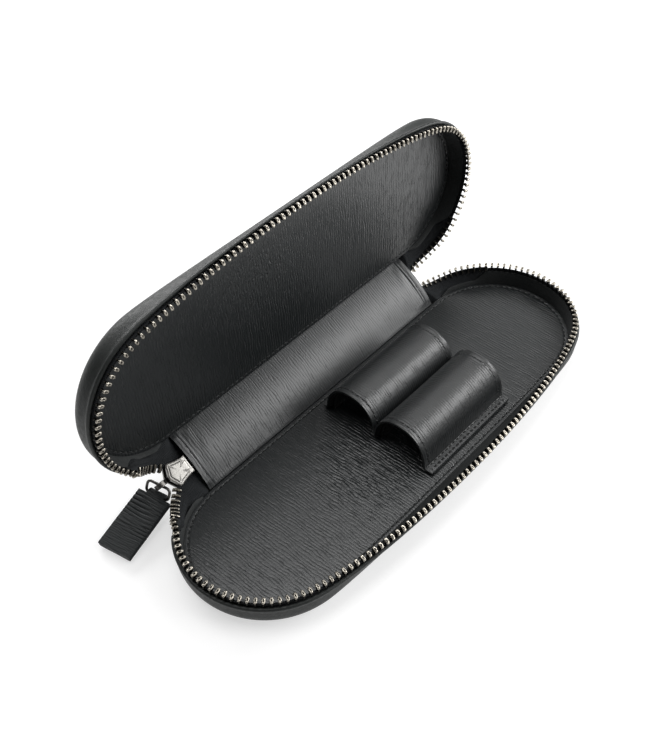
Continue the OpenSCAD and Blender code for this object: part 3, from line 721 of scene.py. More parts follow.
# ---------------------------------------------------------------- leather


def wall_rise(from_hinge):
    """How far the wall is turned up: flat at the hinge, low under the free zip ends, then full."""
    low = 0.355
    return low * smooth((from_hinge - 0.05) / 0.2) + (1 - low) * smooth((from_hinge - 0.62) / 0.24)


def shell_surface(s):
    """The leather pan. Its section turns up a rounded edge, over a bead and down inside.

    At the hinge the same section lies flat; in between it is mixed by wall_rise.
    """
    bead_r, inner_r, t = s.lip_bead / 2, s.edge_radius - s.outer_leather, s.outer_leather
    a = np.linspace(-math.pi / 2, 0, 16)
    b = np.linspace(-0.6, math.pi - 0.2, 14)
    climb = np.linspace(s.edge_radius, s.wall_top - s.lip_bead, 5)
    bead_e, bead_z = s.wall_inner + bead_r + 0.08, s.wall_top - bead_r
    up = np.vstack(
        [
            np.stack([s.corner_e + s.edge_radius * np.cos(a), s.edge_radius + s.edge_radius * np.sin(a)], -1),
            np.stack([np.full(4, s.wall_offset), climb[1:]], -1),
            np.stack([bead_e + bead_r * np.cos(b), bead_z + bead_r * np.sin(b)], -1),
            np.stack([np.full(4, s.wall_inner), climb[:0:-1]], -1),
            np.stack([s.corner_e + inner_r * np.cos(a), s.edge_radius + inner_r * np.sin(a)], -1)[::-1],
        ]
    )
    nose_e = -0.25 - t / 2
    turn = np.linspace(-math.pi / 2, math.pi / 2, 14)
    out = np.linspace(s.corner_e, nose_e, 20)
    flat = np.vstack(
        [
            np.stack([out, np.zeros(20)], -1),
            np.stack([nose_e + t / 2 * np.cos(turn), t / 2 + t / 2 * np.sin(turn)], -1),
            np.stack([out[::-1], np.full(20, t)], -1),
        ]
    )
    w = wall_rise(plan_loop(s)[2])[:, None, None]
    section = flat * (1 - w) + up * w
    return plan_surface(s, section[..., 0], section[..., 1])


def lining_edge(from_hinge):
    """The lining stops short of the wall, and runs out to the crease along the hinge."""
    return -0.95 + 0.25 * np.exp(-np.maximum(from_hinge - 0.04, 0) / 0.05)


def lining_surface(s):
    """The lining leather: a rounded edge, a furrow along the stitches and a slightly full middle."""
    top, foot, r = s.lining_top, s.lining_top - s.lining, 0.8
    a = np.linspace(0, math.pi / 2, 8)
    inwards = -np.linspace(0.9, 2.4, 13)
    e = np.concatenate([[-5, -0.3, -0.05], -r + r * np.cos(a), inwards, [-2.9, -3.8, -5.5, -8]])
    z = np.concatenate([[foot, foot, foot + 0.15], top - r + r * np.sin(a), np.full(17, top)])
    groove = s.furrow * np.exp(-(((e + s.stitch_inset) / 0.3) ** 2))
    z = z + (0.1 * smooth((-e - 2.0) / 5) - groove - 0.1) * (z > top - 0.05)
    e = lining_edge(plan_loop(s)[2])[:, None] + e
    return plan_surface(s, e, np.broadcast_to(z, e.shape))


def wall_cloth(s):
    """The cloth inside the wall: it leans towards the tape with the square of its height, and thins out."""
    run = rim_stations(s, math.radians(6))
    from_hinge = np.minimum(run, s.full_run - run) / s.end_radius
    low = s.lining_top - 0.6
    top = np.maximum(3.2 + (s.wall_top - 3.4) * wall_rise(from_hinge), low + 0.3)
    v = np.linspace(0, 1, 8)
    z = low + (top - low)[:, None] * v
    p, turn = zip_line(s, run)
    out = np.stack([np.cos(turn), np.sin(turn)], -1)[:, None]
    points = np.dstack([p[:, None] + (0.35 * v**2 - 0.9)[:, None] * out, z])
    thickness = s.wall_lining - 0.6 * v**2
    return Skin().slab(points, thickness[None, :, None], np.dstack([np.repeat(run[:, None], 8, 1), z]))


class PEN_OT_shells(bpy.types.Operator):
    """Outer leather of the base and the lid, turned up round the open sides"""

    bl_idname = "pen_case.shells"
    bl_label = "Outer leather"

    def execute(self, context):
        s = Sizes(context)
        for half in HALVES:
            skin = Skin().grid(shell_surface(s))
            piece(s, half + "_outer_leather", skin, "outer", half, half + "_outer_shell")
        return {"FINISHED"}


class PEN_OT_linings(bpy.types.Operator):
    """Lining leather and inner wall cloth of the base and the lid"""

    bl_idname = "pen_case.linings"
    bl_label = "Linings"

    def execute(self, context):
        s = Sizes(context)
        for half in HALVES:
            skin = Skin().grid(lining_surface(s))
            piece(s, half + "_lining_leather", skin, "lining", half, half + "_lining_panel")
            piece(s, half + "_wall_cloth", wall_cloth(s), "suede", half, half + "_wall_lining")
        return {"FINISHED"}


# Section of a board: distance out from the zip line and height. Its edge is slanted.
BOARD_SECTION = np.array([(-9, 1.05), (-3.4, 1.05), (-1.9, 2.5), (-9, 2.5)])


class PEN_OT_boards(bpy.types.Operator):
    """Grey boards inside the leather"""

    bl_idname = "pen_case.boards"
    bl_label = "Boards"

    def execute(self, context):
        s = Sizes(context)
        e, z = np.tile(BOARD_SECTION.T[:, None], (1, len(plan_loop(s)[0]), 1))
        for half in HALVES:
            skin = Skin().grid(plan_surface(s, e, z))
            piece(s, half + "_grey_board", skin, "board", half, half + "_board", rounded=False)
        dress(s, "spine_core", "board")
        return {"FINISHED"}


# ---------------------------------------------------------------- zip

# Each level: height, half length along the chain, half width over the tape, fall towards
# the open side, and its painted shade, 1 inside the hollow of the head. The first two follow the leg.
TOOTH_LEVELS = (
    (0.00, 0.26, 0.80, 0.0, 0.0),
    (0.12, 0.36, 0.95, 0.0, 0.0),
    (-0.95, 0.36, 0.95, 0.0, 0.0),
    (-0.70, 0.28, 0.85, 0.0, 0.0),
    (-0.22, 0.30, 0.82, 0.0, 0.0),
    (0.00, 0.46, 0.94, 0.0, 0.0),
    (0.24, 0.54, 1.06, 0.0, 0.0),
    (0.46, 0.53, 1.02, 0.05, 0.0),
    (0.62, 0.40, 0.82, 0.12, 0.0),
    (0.62, 0.20, 0.46, 0.14, 0.35),
    (0.50, 0.13, 0.34, 0.12, 1.0),
    (0.46, 0.02, 0.04, 0.0, 1.0),
)
TOOTH_SIDES = 14
RIM_LEG, FREE_LEG = 1.25, 2.2
EVEN_NECK = (0.5, 0.8)


def tooth_shape(leg, leg_shade, even):
    """One tooth, from its feet up: rounded rings that widen to the legs and close over the head.

    An even tooth has no neck and bows a little, as the free ends show theirs from the side; its faces towards
    its neighbours get painted shade.

    X runs along the chain, Y across the tape and Z = 0 is the zip line. The head is hollow on
    top and open to one side, so that it shows as a bright C; V of its pattern marks painted shade, in the
    hollow and on the legs.
    """
    n, rows = TOOTH_SIDES, len(TOOTH_LEVELS)
    a = np.linspace(0, 2 * math.pi, n + 1)[:-1]
    c, k = np.cos(a), np.sin(a)
    x, y = np.sign(c) * np.abs(c) ** 0.7, np.sign(k) * np.abs(k) ** 0.7
    levels = np.array(TOOTH_LEVELS)
    levels[:2, 0] -= leg
    # Painted shade on the legs, the first five levels, as much as is asked for.
    levels[:5, 4] = leg_shade
    if even:
        levels[1:8, 1:3] = EVEN_NECK
    height, long, wide, fall, dark = levels.T[..., None]
    points = np.stack([long * x, wide * y, height - fall * smooth(x)], -1)
    if even:
        points[..., 0] += 0.3 * (1 - ((points[..., 2] + 0.8) / 1.5) ** 2)
        # Painted shade on the faces towards the neighbouring teeth.
        dark = dark + (np.abs(c) > 0.85)
    dark = np.minimum(1, dark) + 0 * x
    faces = grid_faces(rows, n, wrap=True).tolist()
    faces += [list(range(n)), list(range(rows * n - 1, (rows - 1) * n - 1, -1))]
    return points.reshape(-1, 3), faces, np.stack([0 * dark, dark], -1).reshape(-1, 2)


def set_teeth(skin, at, way, up, leg=RIM_LEG, leg_shade=1.0, even=False):
    """Teeth at many places along a chain; their legs get painted shade, up to nearly black, as they stand in
    the wall's shade.
    """
    skin.many(tooth_shape(leg, leg_shade, even), at, way, np.cross(up, way), up)


def rim_frames(s, half, shift):
    """Places, directions and ups of the teeth along a rim: they lean with the wall below them."""
    count = int((s.full_run - 2 * s.free_run) / s.pitch - shift) + 1
    p, turn = zip_line(s, s.free_run + (np.arange(count) + shift) * s.pitch)
    at = np.column_stack([p, np.full(count, s.mesh_height)])
    way = np.column_stack([-np.sin(turn), np.cos(turn), np.zeros(count)])
    origin = on_half(s, at, half)
    way, up = unit(on_half(s, at + way, half) - origin), origin - on_half(s, at - [0, 0, 2.0], half)
    return origin, way, unit(up - (up * way).sum(-1, keepdims=True) * way)


# At each end of the spine: the chain's distance from the zip's plane, how much it flares, how
# long its curve keeps the rim's direction and its last one, and its outward bow.
END_CURVES = {NEAR: (2.75, 0.9, 0.25, 0.38, 1.4), FAR: (2.6, 0.25, 0.55, 0.36, 0.0)}
# Height at which the tape's root starts at the hinge, in mm.
WALL_ROOT = 3.7


def bend_end(made, half):
    """Bakes the place of a free zip end into its mesh, in metres, alike for either half."""
    if half == "base":
        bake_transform(made)
    else:
        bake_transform(made)


class FreeEnd:
    """The free end of one zip chain, from the rim of its half over to the spine.

    The chain is a cubic curve through the rim and the spine with set directions at both ends.
    """

    def __init__(self, s, side, half):
        self.s, self.side, self.half = s, side, half
        self.lid = 1 if half == "lid" else -1
        n, c = math.sin(s.free_turn), math.cos(s.free_turn)
        p = np.array([side * (s.end_x + s.end_radius * n), s.end_radius * c, s.mesh_height])
        start = on_half(s, p, half)
        way, self.out, self.up_rim = (
            unit(on_half(s, p + step, half) - start) for step in ([-side * c, n, 0], [side * n, c, 0], UP)
        )
        spread, flare, lead, leave, bow = END_CURVES[side]
        x = s.slider_x - s.slider_length + 0.9 if side == NEAR else s.spine_reach + 1.4
        goal = on_spine(s, np.array([x, s.tail_y, s.mesh_height + self.lid * spread]))
        past = on_spine(s, np.array([x - side, s.tail_y, s.mesh_height + self.lid * (spread - flare)]))
        k = np.linalg.norm(goal - start)
        leaving, coming = k * lead * way + bow * self.out, k * leave * unit(past - goal)
        self.knots = [start, start + leaving, goal - coming, goal]

    def chain(self, t):
        """Points of the curve: its four knots weighted by the cubic powers of t and 1 less t."""
        t = np.asarray(t, float)[:, None]
        a, b, c, d = self.knots
        return (1 - t) ** 3 * a + 3 * (1 - t) ** 2 * t * b + 3 * (1 - t) * t**2 * c + t**3 * d

    def way(self, t):
        """Directions of the chain, from the points just after and just before."""
        return unit(self.chain(t + 0.01) - self.chain(t - 0.01))

    def root(self, t, depth):
        """Where the tape comes out between the wall and its lining."""
        s = self.s
        a = s.free_turn * (1 - t)
        x, slope = s.end_radius * np.sin(a), s.end_radius * math.sin(s.free_turn)
        z = WALL_ROOT + (s.wall_top - WALL_ROOT) * smooth((x - 0.72 * slope) / (0.28 * slope)) - depth
        inner_r, rise = s.edge_radius - s.outer_leather, np.maximum(0, s.edge_radius - z)
        inner = s.corner_e + np.sqrt(np.maximum(inner_r**2 - rise**2, 0))
        r = s.end_radius + np.minimum(0, inner - 0.35)
        return on_half(s, np.stack([self.side * (s.end_x + r * np.sin(a)), r * np.cos(a), z], -1), self.half)

    def down(self, t):
        """From the teeth into the tape. At the slider's end the tape flops outwards after the rim."""
        way = self.way(t)
        d = self.root(t, 0) - self.chain(t)
        if self.side == NEAR:
            w = 0.8 * smooth(t / 0.5)[:, None]
            d = -self.up_rim * (1 - w) - self.out * w
        return unit(d - (d * way).sum(-1, keepdims=True) * way)

    def sheet(self, rows=44, cols=16):
        """The tape from its root to the chain, then the web back to the end of the spine."""
        s = self.s
        t = np.linspace(0.01, 0.985, rows)
        root, chain, down = self.root(t, 0.8), self.chain(t), self.down(t)
        low, top = chain + 2.3 * down, chain + 0.8 * down
        w = np.linspace(0, 1, cols - 2)[:, None]
        out = unit(np.cross(self.way(t), down))[:, None] * self.side * -self.lid
        bulge = 0.35 * np.sin(math.pi * w) * np.linspace(1, 0.3, rows)[:, None, None]
        span = root[:, None] + (low - root)[:, None] * w + bulge * out
        body = np.concatenate([span, ((low + top) / 2)[:, None], top[:, None]], axis=1)
        foot = s.crease_height + 0.2 if self.half == "base" else s.lid_crease_z - 0.2
        head = s.mesh_height + self.lid * (2.2 if self.side == NEAR else 1.3)
        edge = np.linspace([s.tail_y, foot], [s.tail_y, head], cols)
        hem = swept([self.side * (s.spine_reach + 0.1)], edge)
        web = body[-1] + (on_spine(s, hem) - body[-1]) * np.linspace(0, 1, 11)[1:, None, None]
        points = np.concatenate([body, web])
        along = walked(points[:, cols // 2])
        return points, np.dstack(np.meshgrid(along, np.linspace(0, 11, cols), indexing="ij"))

    def teeth(self):
        """Places, directions and ups of the teeth, a pitch apart and in step with the rim's."""
        t = np.linspace(0, 1, 400)
        run = walked(self.chain(t))
        pitch = self.s.pitch
        shift = 0.5 if self.half == "base" else 1.0
        span = (self.s.full_run - 2 * self.s.free_run) / pitch - shift
        first = (1 - shift if self.side == NEAR else 1 - span % 1) * pitch
        at = np.interp(np.arange(max(first, 0.1), run[-1] - 0.3, pitch), run, t)
        return self.chain(at), self.way(at), -self.down(at)


class PEN_OT_zip_tapes(bpy.types.Operator):
    """Woven tapes of the zip: along the rims, at the free ends and in the spine"""

    bl_idname = "pen_case.zip_tapes"
    bl_label = "Zip tapes"

    def execute(self, context):
        s = Sizes(context)
        run = rim_stations(s, s.free_turn - 0.01, ends=90, bow=120)
        flat = np.dstack(np.meshgrid(run, np.linspace(s.tape_foot, s.tape_top, 12), indexing="ij"))
        points = np.dstack([np.repeat(zip_line(s, run)[0][:, None], 12, 1), flat[..., 1]])
        for half in HALVES:
            piece(s, half + "_tape", Skin().slab(points, s.tape_t, flat), "tape", half, half + "_zip_tape")
            skin = Skin()
            for side in (NEAR, FAR):
                sheet, pattern = FreeEnd(s, side, half).sheet()
                skin.slab(sheet, s.end_tape_t, pattern)
            made = piece(s, half + "_tape_ends", skin, "tape", half, bent=True, place=np.asarray)
            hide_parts(half + "_zip_end_tape")
            bend_end(made, half)
        skin = Skin()
        for side, reach in ((NEAR, 5.6), (FAR, 1.6)):
            x = np.linspace(side * (s.spine_reach - 4), side * (s.spine_reach + reach), 12)
            for way in (-1, 1):
                z = s.mesh_height + way * np.linspace(1.15, 5.2, 6)
                strip = swept(x, np.column_stack([np.full(6, s.tail_y), z]))
                skin.slab(strip, s.tape_t, strip[..., [0, 2]])
        piece(s, "spine_tape", skin, "tape", "spine", "zip_tail_tape")
        return {"FINISHED"}


class PEN_OT_zip_teeth(bpy.types.Operator):
    """Metal teeth of the zip"""

    bl_idname = "pen_case.zip_teeth"
    bl_label = "Zip teeth"

    def execute(self, context):
        s = Sizes(context)
        for half, shift in (("base", 0.5), ("lid", 1.0)):
            skin = Skin()
            set_teeth(skin, *rim_frames(s, half, shift))
            piece(s, half + "_teeth", skin, "teeth", half, half + "_zip_teeth", place=np.asarray)
            skin = Skin()
            for side in (NEAR, FAR):
                near = side == NEAR
                places = FreeEnd(s, side, half).teeth()
                like_rim = 3 if near else 0
                set_teeth(skin, *(p[:like_rim] for p in places))
                # Painted shade on the legs of the even teeth: none at the slider's end, some at the far end.
                set_teeth(skin, *(p[like_rim:] for p in places), FREE_LEG, 0.0 if near else 0.6, near)
            made = piece(s, half + "_teeth_ends", skin, "teeth", half, bent=True, place=np.asarray)
            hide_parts(half + "_zip_end_teeth")
            bend_end(made, half)
        skin = Skin()
        for way in (-1, 1):
            x = s.slider_x - 0.75 - (np.arange(2) + (0.5 if way > 0 else 0)) * s.pitch
            at = np.column_stack([x, np.full(2, s.tail_y), np.full(2, s.mesh_height)])
            origin = on_spine(s, at)
            along, up = (unit(on_spine(s, at + step) - origin) for step in ([1.0, 0, 0], [0, 0, -1.0 * way]))
            set_teeth(skin, origin, along, up)
        piece(s, "slider_teeth", skin, "teeth", "spine", "zip_tail_teeth", place=np.asarray)
        return {"FINISHED"}


# ---------------------------------------------------------------- spine


def spine_shape(s, radius, bulge, from_angle, cols=60):
    """A sheet that rolls round both creases at a radius and stands between them, bulging by sin."""
    a = np.linspace(from_angle, math.pi / 2, 10)[:-1]
    low = np.stack([s.crease_y - radius * np.sin(a), s.crease_height - radius * np.cos(a)], -1)
    v = np.linspace(0, 1, cols)
    y = s.crease_y - radius - bulge * np.sin(math.pi * v)
    z = s.crease_height + (s.lid_crease_z - s.crease_height) * v
    return np.vstack([low, np.stack([y, z], -1), low[::-1] * [1, -1] + [0, 2 * s.mesh_height]])


def hem_profile(inset, width):
    """Profile of a turned hem: a raised flat band with a furrow at its stitches."""
    return 0.3 * smooth((inset + 0.35) / 0.35) - 0.22 * np.exp(-(((inset - width * 0.3) / 0.3) ** 2))


def spine_band(s):
    """The polished band: hems at both ends, and waves that die away from them."""
    r = s.spine_reach
    hem = np.linspace(-r, 3 - r, 13)
    x = np.concatenate([hem, np.linspace(3.1 - r, r - 3.1, 90), -hem[::-1]])
    section = spine_shape(s, s.spine_band, s.band_bulge, 0.35)
    run = walked(section)
    u, v = np.meshgrid(x, run, indexing="ij")
    inset = (np.abs(x) - (r - s.hem_width))[:, None]
    wave = 0.12 * ripple(u * 0.9, v * 0.25, 4) * np.exp(-np.maximum(-inset, 0) / 5) * (inset < 0)
    points = swept(x, section)
    raised = smooth(np.minimum(v - 1.2, run[-1] - 1.2 - v) / 2)
    points[..., 1] -= (hem_profile(inset, s.hem_width) + wave) * raised
    return Skin().slab(points, s.spine_band, np.dstack([u, v]))


def crease_strip(s, lean):
    """Section of the soft leather under a crease: flat under the half, then round onto the spine.

    It turns about the crease at a small radius by the angle by which the crease stands open.
    """
    r = 0.6
    y = np.linspace(s.end_radius - 1.2, s.crease_y, 8)[:-1]
    flat = np.stack([y, np.full(7, s.crease_height - r)], -1)
    a = np.linspace(-math.pi / 2, -lean, 8)
    bend = np.stack([s.crease_y + r * np.cos(a), s.crease_height + r * np.sin(a)], -1)
    along = np.array([math.sin(lean), math.cos(lean)])
    return np.vstack([flat, bend, bend[-1] + along * np.linspace(0.4, 2.4, 5)[:, None]])


def crease_piece(s, half):
    """The leather in a crease. It bends from its flat part to where it lies on the spine."""
    section = crease_strip(s, s.spine_lean if half == "base" else s.lid_fold)
    x = np.linspace(-s.spine_reach - 1.6, s.spine_reach + 3.2, 40)
    skin = Skin().slab(swept(x, section), s.crease_leather)
    held = on_half(s, [0, s.end_radius + 0.4, s.crease_height - 0.6], half) * MM
    moved = on_half(s, [0, *(section[14] + section[15]) / 2], half) * MM
    made = piece(s, half + "_crease_leather", skin, "outer", half, bent=True)
    if half == "base":
        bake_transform(made)
    else:
        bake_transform(made)


class PEN_OT_spine(bpy.types.Operator):
    """Spine: the polished band inside, the outer leather and the soft leather at both creases"""

    bl_idname = "pen_case.spine"
    bl_label = "Spine"

    def execute(self, context):
        s = Sizes(context)
        piece(s, "spine_band_leather", spine_band(s), "band", "spine", "spine_lining")
        section = spine_shape(s, 0.9, 0.0, 0.1) * [-1, 1] + [2 * s.crease_y, 0]
        x = np.linspace(-s.spine_reach, s.spine_reach, 80)
        flat = np.dstack(np.meshgrid(x, np.linspace(0, 24, len(section)), indexing="ij"))
        skin = Skin().slab(swept(x, section), s.spine_outer, flat)
        piece(s, "spine_outer_leather", skin, "outer", "spine", "spine_outer")
        for half in HALVES:
            crease_piece(s, half)
        return {"FINISHED"}


# ---------------------------------------------------------------- pen loops


def arch_path(y, w, h, n=44):
    """One arch: a round-shouldered superellipse from the back foot to the front foot."""
    a = np.linspace(0, math.pi, n)
    c, k = np.cos(a), np.sin(a)
    return np.stack([y + w * np.sign(c) * np.abs(c) ** 0.85, h * np.abs(k) ** 0.85], -1)


def loop_strip(s):
    """The strip's section, in Y and Z: back flange, two arches that meet at the seam, front flange.

    Gives the middle of the leather, the distance along it and its outward directions.
    """
    half, middle = s.loop_width / 2, s.loop_leather / 2
    size = half - middle, s.loop_height - middle
    arches = (arch_path(s.seam_y + side * (half - 0.3), *size) for side in (1, -1))
    back, front = (arch[arch[:, 1] > middle] for arch in arches)
    edge, toe_edge = s.seam_y + s.loop_width, s.seam_y - s.loop_width
    heel = [[edge - 0.6 + s.heel, middle], [edge - 0.2, middle]]
    toe = [[toe_edge + 0.3, middle], [toe_edge - s.flange + 0.6, middle]]
    path = resample(np.vstack([heel, back, front, toe]), 150)
    way = unit(np.gradient(path, axis=0))
    return path, walked(path), np.stack([way[:, 1], -way[:, 0]], -1)


def loop_leather(s):
    """The strip over its length: hemmed and thinned at the mouths, furrowed at the stitches, rippled."""
    ends = np.array([0, 0.3, 0.8, 1.2, 1.5, 1.8, 2.2, 2.6, 2.9, 3.3, 4.0])
    x = np.concatenate([ends, np.linspace(5, s.loop_length - 5, 34), s.loop_length - ends[::-1]])
    path, run, out = loop_strip(s)
    u, v = np.meshgrid(x, run, indexing="ij")
    mouth = np.minimum(x, s.loop_length - x)[:, None]
    lift = 0.12 * smooth((2.9 - mouth) / 0.5) - 0.16 * np.exp(-(((mouth - 1.8) / 0.3) ** 2))
    lift = lift + 0.05 * ripple(u * 0.12, v * 0.2, 7)
    thick = s.loop_leather * (0.5 + 0.5 * smooth(mouth / 2.0))
    points = swept(x + s.loop_start, path + [0, s.lining_top])
    points[..., 1:] += (lift + (s.loop_leather - thick) / 2)[..., None] * out
    return Skin().slab(points, thick[..., None], np.dstack([u, v]))


class PEN_OT_pen_loops(bpy.types.Operator):
    """Two pen loops from one strip of polished leather, hemmed at both mouths"""

    bl_idname = "pen_case.pen_loops"
    bl_label = "Pen loops"

    def execute(self, context):
        s = Sizes(context)
        piece(s, "pen_loop_leather", loop_leather(s), "loops", "base", "pen_loop_strip", place=np.asarray)
        skin = Skin()
        half, inside = s.loop_width / 2, s.loop_leather + 0.35
        x = np.linspace(2.0, s.loop_length - 2.0, 20) + s.loop_start
        for side in (-1, 1):
            arch = arch_path(s.seam_y + side * (half - 0.3), half - inside, s.loop_height - inside)
            skin.slab(swept(x, arch + [0, s.lining_top]), s.loop_lining)
        piece(s, "pen_loop_flesh_side", skin, "suede", "base", "pen_loop_lining", place=np.asarray)
        return {"FINISHED"}


# ---------------------------------------------------------------- sewing

STITCH_SIDES, STITCH_RINGS = 7, 7
HOLE_SIDES, HOLE_HEIGHT = 8, 0.06


def stitch_shape(reach, radius, rise):
    """One stitch: a thin spindle that bows up by rise between its two holes."""
    t = np.linspace(-1, 1, STITCH_RINGS)
    path = np.stack([t * reach / 2, np.zeros_like(t), rise * (1 - t**2) - 0.12 * t**4], -1)
    ring = tube(path, radius * np.sqrt(np.maximum(1 - t**4, 0.02)), STITCH_SIDES)[:, :-1]
    faces = grid_faces(STITCH_RINGS, STITCH_SIDES, wrap=True).tolist()
    faces += [[base + k for k in range(STITCH_SIDES)] for base in (0, (STITCH_RINGS - 1) * STITCH_SIDES)]
    points = ring.reshape(-1, 3)
    return points, faces, points[:, :2]


def sew(skin, holes, up, radius=0.15, rise=0.06, lean=0.12, fill=0.75):
    """Stitches from hole to hole along a row of points; each leans a little off the row."""
    start, end = holes[:-1], holes[1:]
    way = unit(end - start)
    up = np.broadcast_to(up, way.shape)
    x = unit(way + lean * unit(np.cross(up, way)))
    y = unit(np.cross(up, x))
    span = float(np.linalg.norm(end - start, axis=1).mean()) * fill
    skin.many(stitch_shape(span, radius, rise), (start + end) / 2, x, y, np.cross(x, y))


def prick(skin, holes, up, radius, stretch=1.9):
    """Needle holes: small flattened beads in painted shade, nearly black, longer along the row, where the
    stitches meet.
    """
    n = HOLE_SIDES
    a = np.linspace(0, 2 * math.pi, n + 1)[:-1]
    rings = [
        np.stack([stretch * radius * k * np.cos(a), radius * k * np.sin(a), np.full(n, h)], -1)
        for k, h in ((0.95, 0.0), (0.7, 0.045))
    ]
    points = np.vstack([*rings, [[0, 0, HOLE_HEIGHT]]])
    faces = grid_faces(2, n, wrap=True)[:, ::-1].tolist()
    faces += [[n + k, n + (k + 1) % n, 2 * n] for k in range(n)]
    way = unit(np.gradient(holes, axis=0))
    side = unit(np.cross(np.broadcast_to(up, way.shape), way))
    skin.many((points, faces, points[:, :2]), holes, way, side, np.cross(way, side))


def lining_row(s):
    """The line of holes on the lining: inset from its edge, all round, evenly spaced."""
    base, out, from_hinge = plan_loop(s, hinge=120)
    p = base + (lining_edge(from_hinge) - s.stitch_inset)[:, None] * out
    run = walked(p)
    p = at_runs(p, run, np.linspace(0, run[-1], int(run[-1] / s.stitch) + 1))
    return np.column_stack([p, np.full(len(p), s.lining_top - 0.1 - s.furrow)])


def spine_row(s, side):
    """The line of holes on a hem of the spine band, which it follows over the bulge."""
    z = np.arange(s.crease_height + 3.2, s.lid_crease_z - 3.0, s.stitch)
    bow = s.band_bulge * np.sin(math.pi * (z - s.crease_height) / (s.lid_crease_z - s.crease_height))
    x = np.full(len(z), side * (s.spine_reach - s.hem_width * 0.7))
    return np.column_stack([x, s.crease_y - 1.2 - bow - 0.1, z])


def loop_rows(s):
    """Rows of holes on the pen loops: one round each hem, and two along the front flange."""
    path, run, out = loop_strip(s)
    at = np.arange(3.2, run[-1] - 5.5, s.hem_stitch)
    yz = at_runs(path + (s.loop_leather / 2 + 0.02) * out, run, at) + [0, s.lining_top]
    up = unit(np.column_stack([np.zeros(len(at)), at_runs(out, run, at)]))
    end = s.loop_start + s.loop_length
    for x in (s.loop_start + 2.0, end - 2.0):
        yield np.column_stack([np.full(len(at), x), yz]), up
    x = np.arange(s.loop_start + 1.2, end - 0.8, s.flange_stitch)
    for y in (1.6, 3.2):
        toe = s.seam_y - s.loop_width - s.flange + y
        row = [x, np.full(len(x), toe), np.full(len(x), s.lining_top + s.loop_leather + HOLE_HEIGHT)]
        yield np.column_stack(row), np.tile(UP, (len(x), 1))


class PEN_OT_stitching(bpy.types.Operator):
    """Rows of stitches on the linings, the spine band and the pen loops"""

    bl_idname = "pen_case.stitching"
    bl_label = "Stitching"

    def execute(self, context):
        s = Sizes(context)
        row = lining_row(s)
        for half in HALVES:
            skin, pits = Skin(), Skin()
            sew(skin, row, UP)
            prick(pits, row + [0, 0, 0.04], UP, 0.33)
            piece(s, half + "_stitches", skin, "thread", half)
            piece(s, half + "_stitch_holes", pits, "hole", half, closed=False)
        skin = Skin()
        for side in (NEAR, FAR):
            sew(skin, spine_row(s, side), [0, -1.0, 0])
        piece(s, "spine_hem_stitches", skin, "thread", "spine")
        skin, pits = Skin(), Skin()
        for k, (row, up) in enumerate(loop_rows(s)):
            hem = k < 2
            if hem:
                sew(skin, row, up[:-1], 0.2, 0.1, 0.25)
            prick(pits, row, up, 0.24 if hem else 0.42)
        piece(s, "pen_loop_stitches", skin, "thread", "base", place=np.asarray)
        piece(s, "pen_loop_stitch_holes", pits, "hole", "base", place=np.asarray, closed=False)
        return {"FINISHED"}


# ---------------------------------------------------------------- slider and pull


def turn_matrix(origin, *steps):
    """A place: the origin, then turns about and shifts along its own axes, in order."""
    made = Matrix.Translation(origin)
    for kind, *values in steps:
        made = made @ (Matrix.Translation(values) if kind == "move" else Matrix.Rotation(values[0], 4, kind))
    return np.array(made)


def carry(matrix, p):
    """Points at a place: turned by its matrix, then shifted to its origin."""
    return p @ matrix[:3, :3].T + matrix[:3, 3]


def ring_place(s):
    """Where the ring hangs in the slider's lug, and the lug."""
    lug = on_spine(s, np.array([s.slider_x - s.lug_x, s.tail_y, s.mesh_height]))
    steps = ("Z", math.pi + s.tab_yaw), ("move", 0, -s.pull_shift, 0), ("Y", s.ring_droop)
    return turn_matrix(lug, *steps), lug


def tab_place(s):
    """Where the tab hangs on the ring's bar: its far end comes down to the table."""
    ring, lug = ring_place(s)
    bar = lug[2] - s.ring_length * math.sin(s.ring_droop)
    droop = math.asin((bar - s.tab_layer - 0.15) / s.tab_length)
    return ring @ turn_matrix((s.ring_length, 0, 0), ("Y", droop - s.ring_droop))


def shield_outline(s, grow):
    """The slider's plate: straight across the tail, hollow sides, round shoulders and a point."""
    tail, wide = s.tail_width / 2, s.slider_width / 2
    half = [(0, 0), (0, tail * 0.5), (0, tail)]
    half += [
        (s.slider_length * share, y)
        for share, y in (
            (0.16, tail - 0.1), (0.36, tail + 0.2), (0.58, wide - 0.45), (0.74, wide - 0.02),
            (0.84, wide - 0.7), (0.92, wide - 2.2), (1, 0.35), (1, 0),
        )
    ]
    half = np.array(half)
    loop = resample(np.vstack([half, half[::-1] * [1, -1]]), 121)[:-1]
    way = unit(np.roll(loop, -1, 0) - np.roll(loop, 1, 0))
    return loop + np.stack([-way[:, 1], way[:, 0]], -1) * grow


# Rings of the plate, from its back over the rounded rim and the groove to its face: how far each
# lies outside the outline, and its height.
PLATE_RINGS = (
    (0.02, 0.9), (0.08, 0.35), (0.04, 0.1), (-0.12, -0.06), (-0.35, -0.1),
    (-0.5, -0.1), (-0.56, -0.02), (-0.66, -0.02), (-0.72, -0.1), (-1.2, -0.14),
)


def slider_plate(s):
    """The plate: rings inwards over its rim, then towards one point in the middle of its face."""
    face = -s.channel - 1.0
    rings = [np.column_stack([shield_outline(s, grow), np.full(120, face + z)]) for grow, z in PLATE_RINGS]
    middle = np.array([s.slider_length * 0.5, 0, face - 0.16])
    rings += [middle + (rings[-1] - middle) * [share, share, 1] for share in (0.6, 0.3)]
    points = np.array([*rings, np.tile(middle, (120, 1))])
    return Skin().grid(np.concatenate([points, points[:, :1]], axis=1))


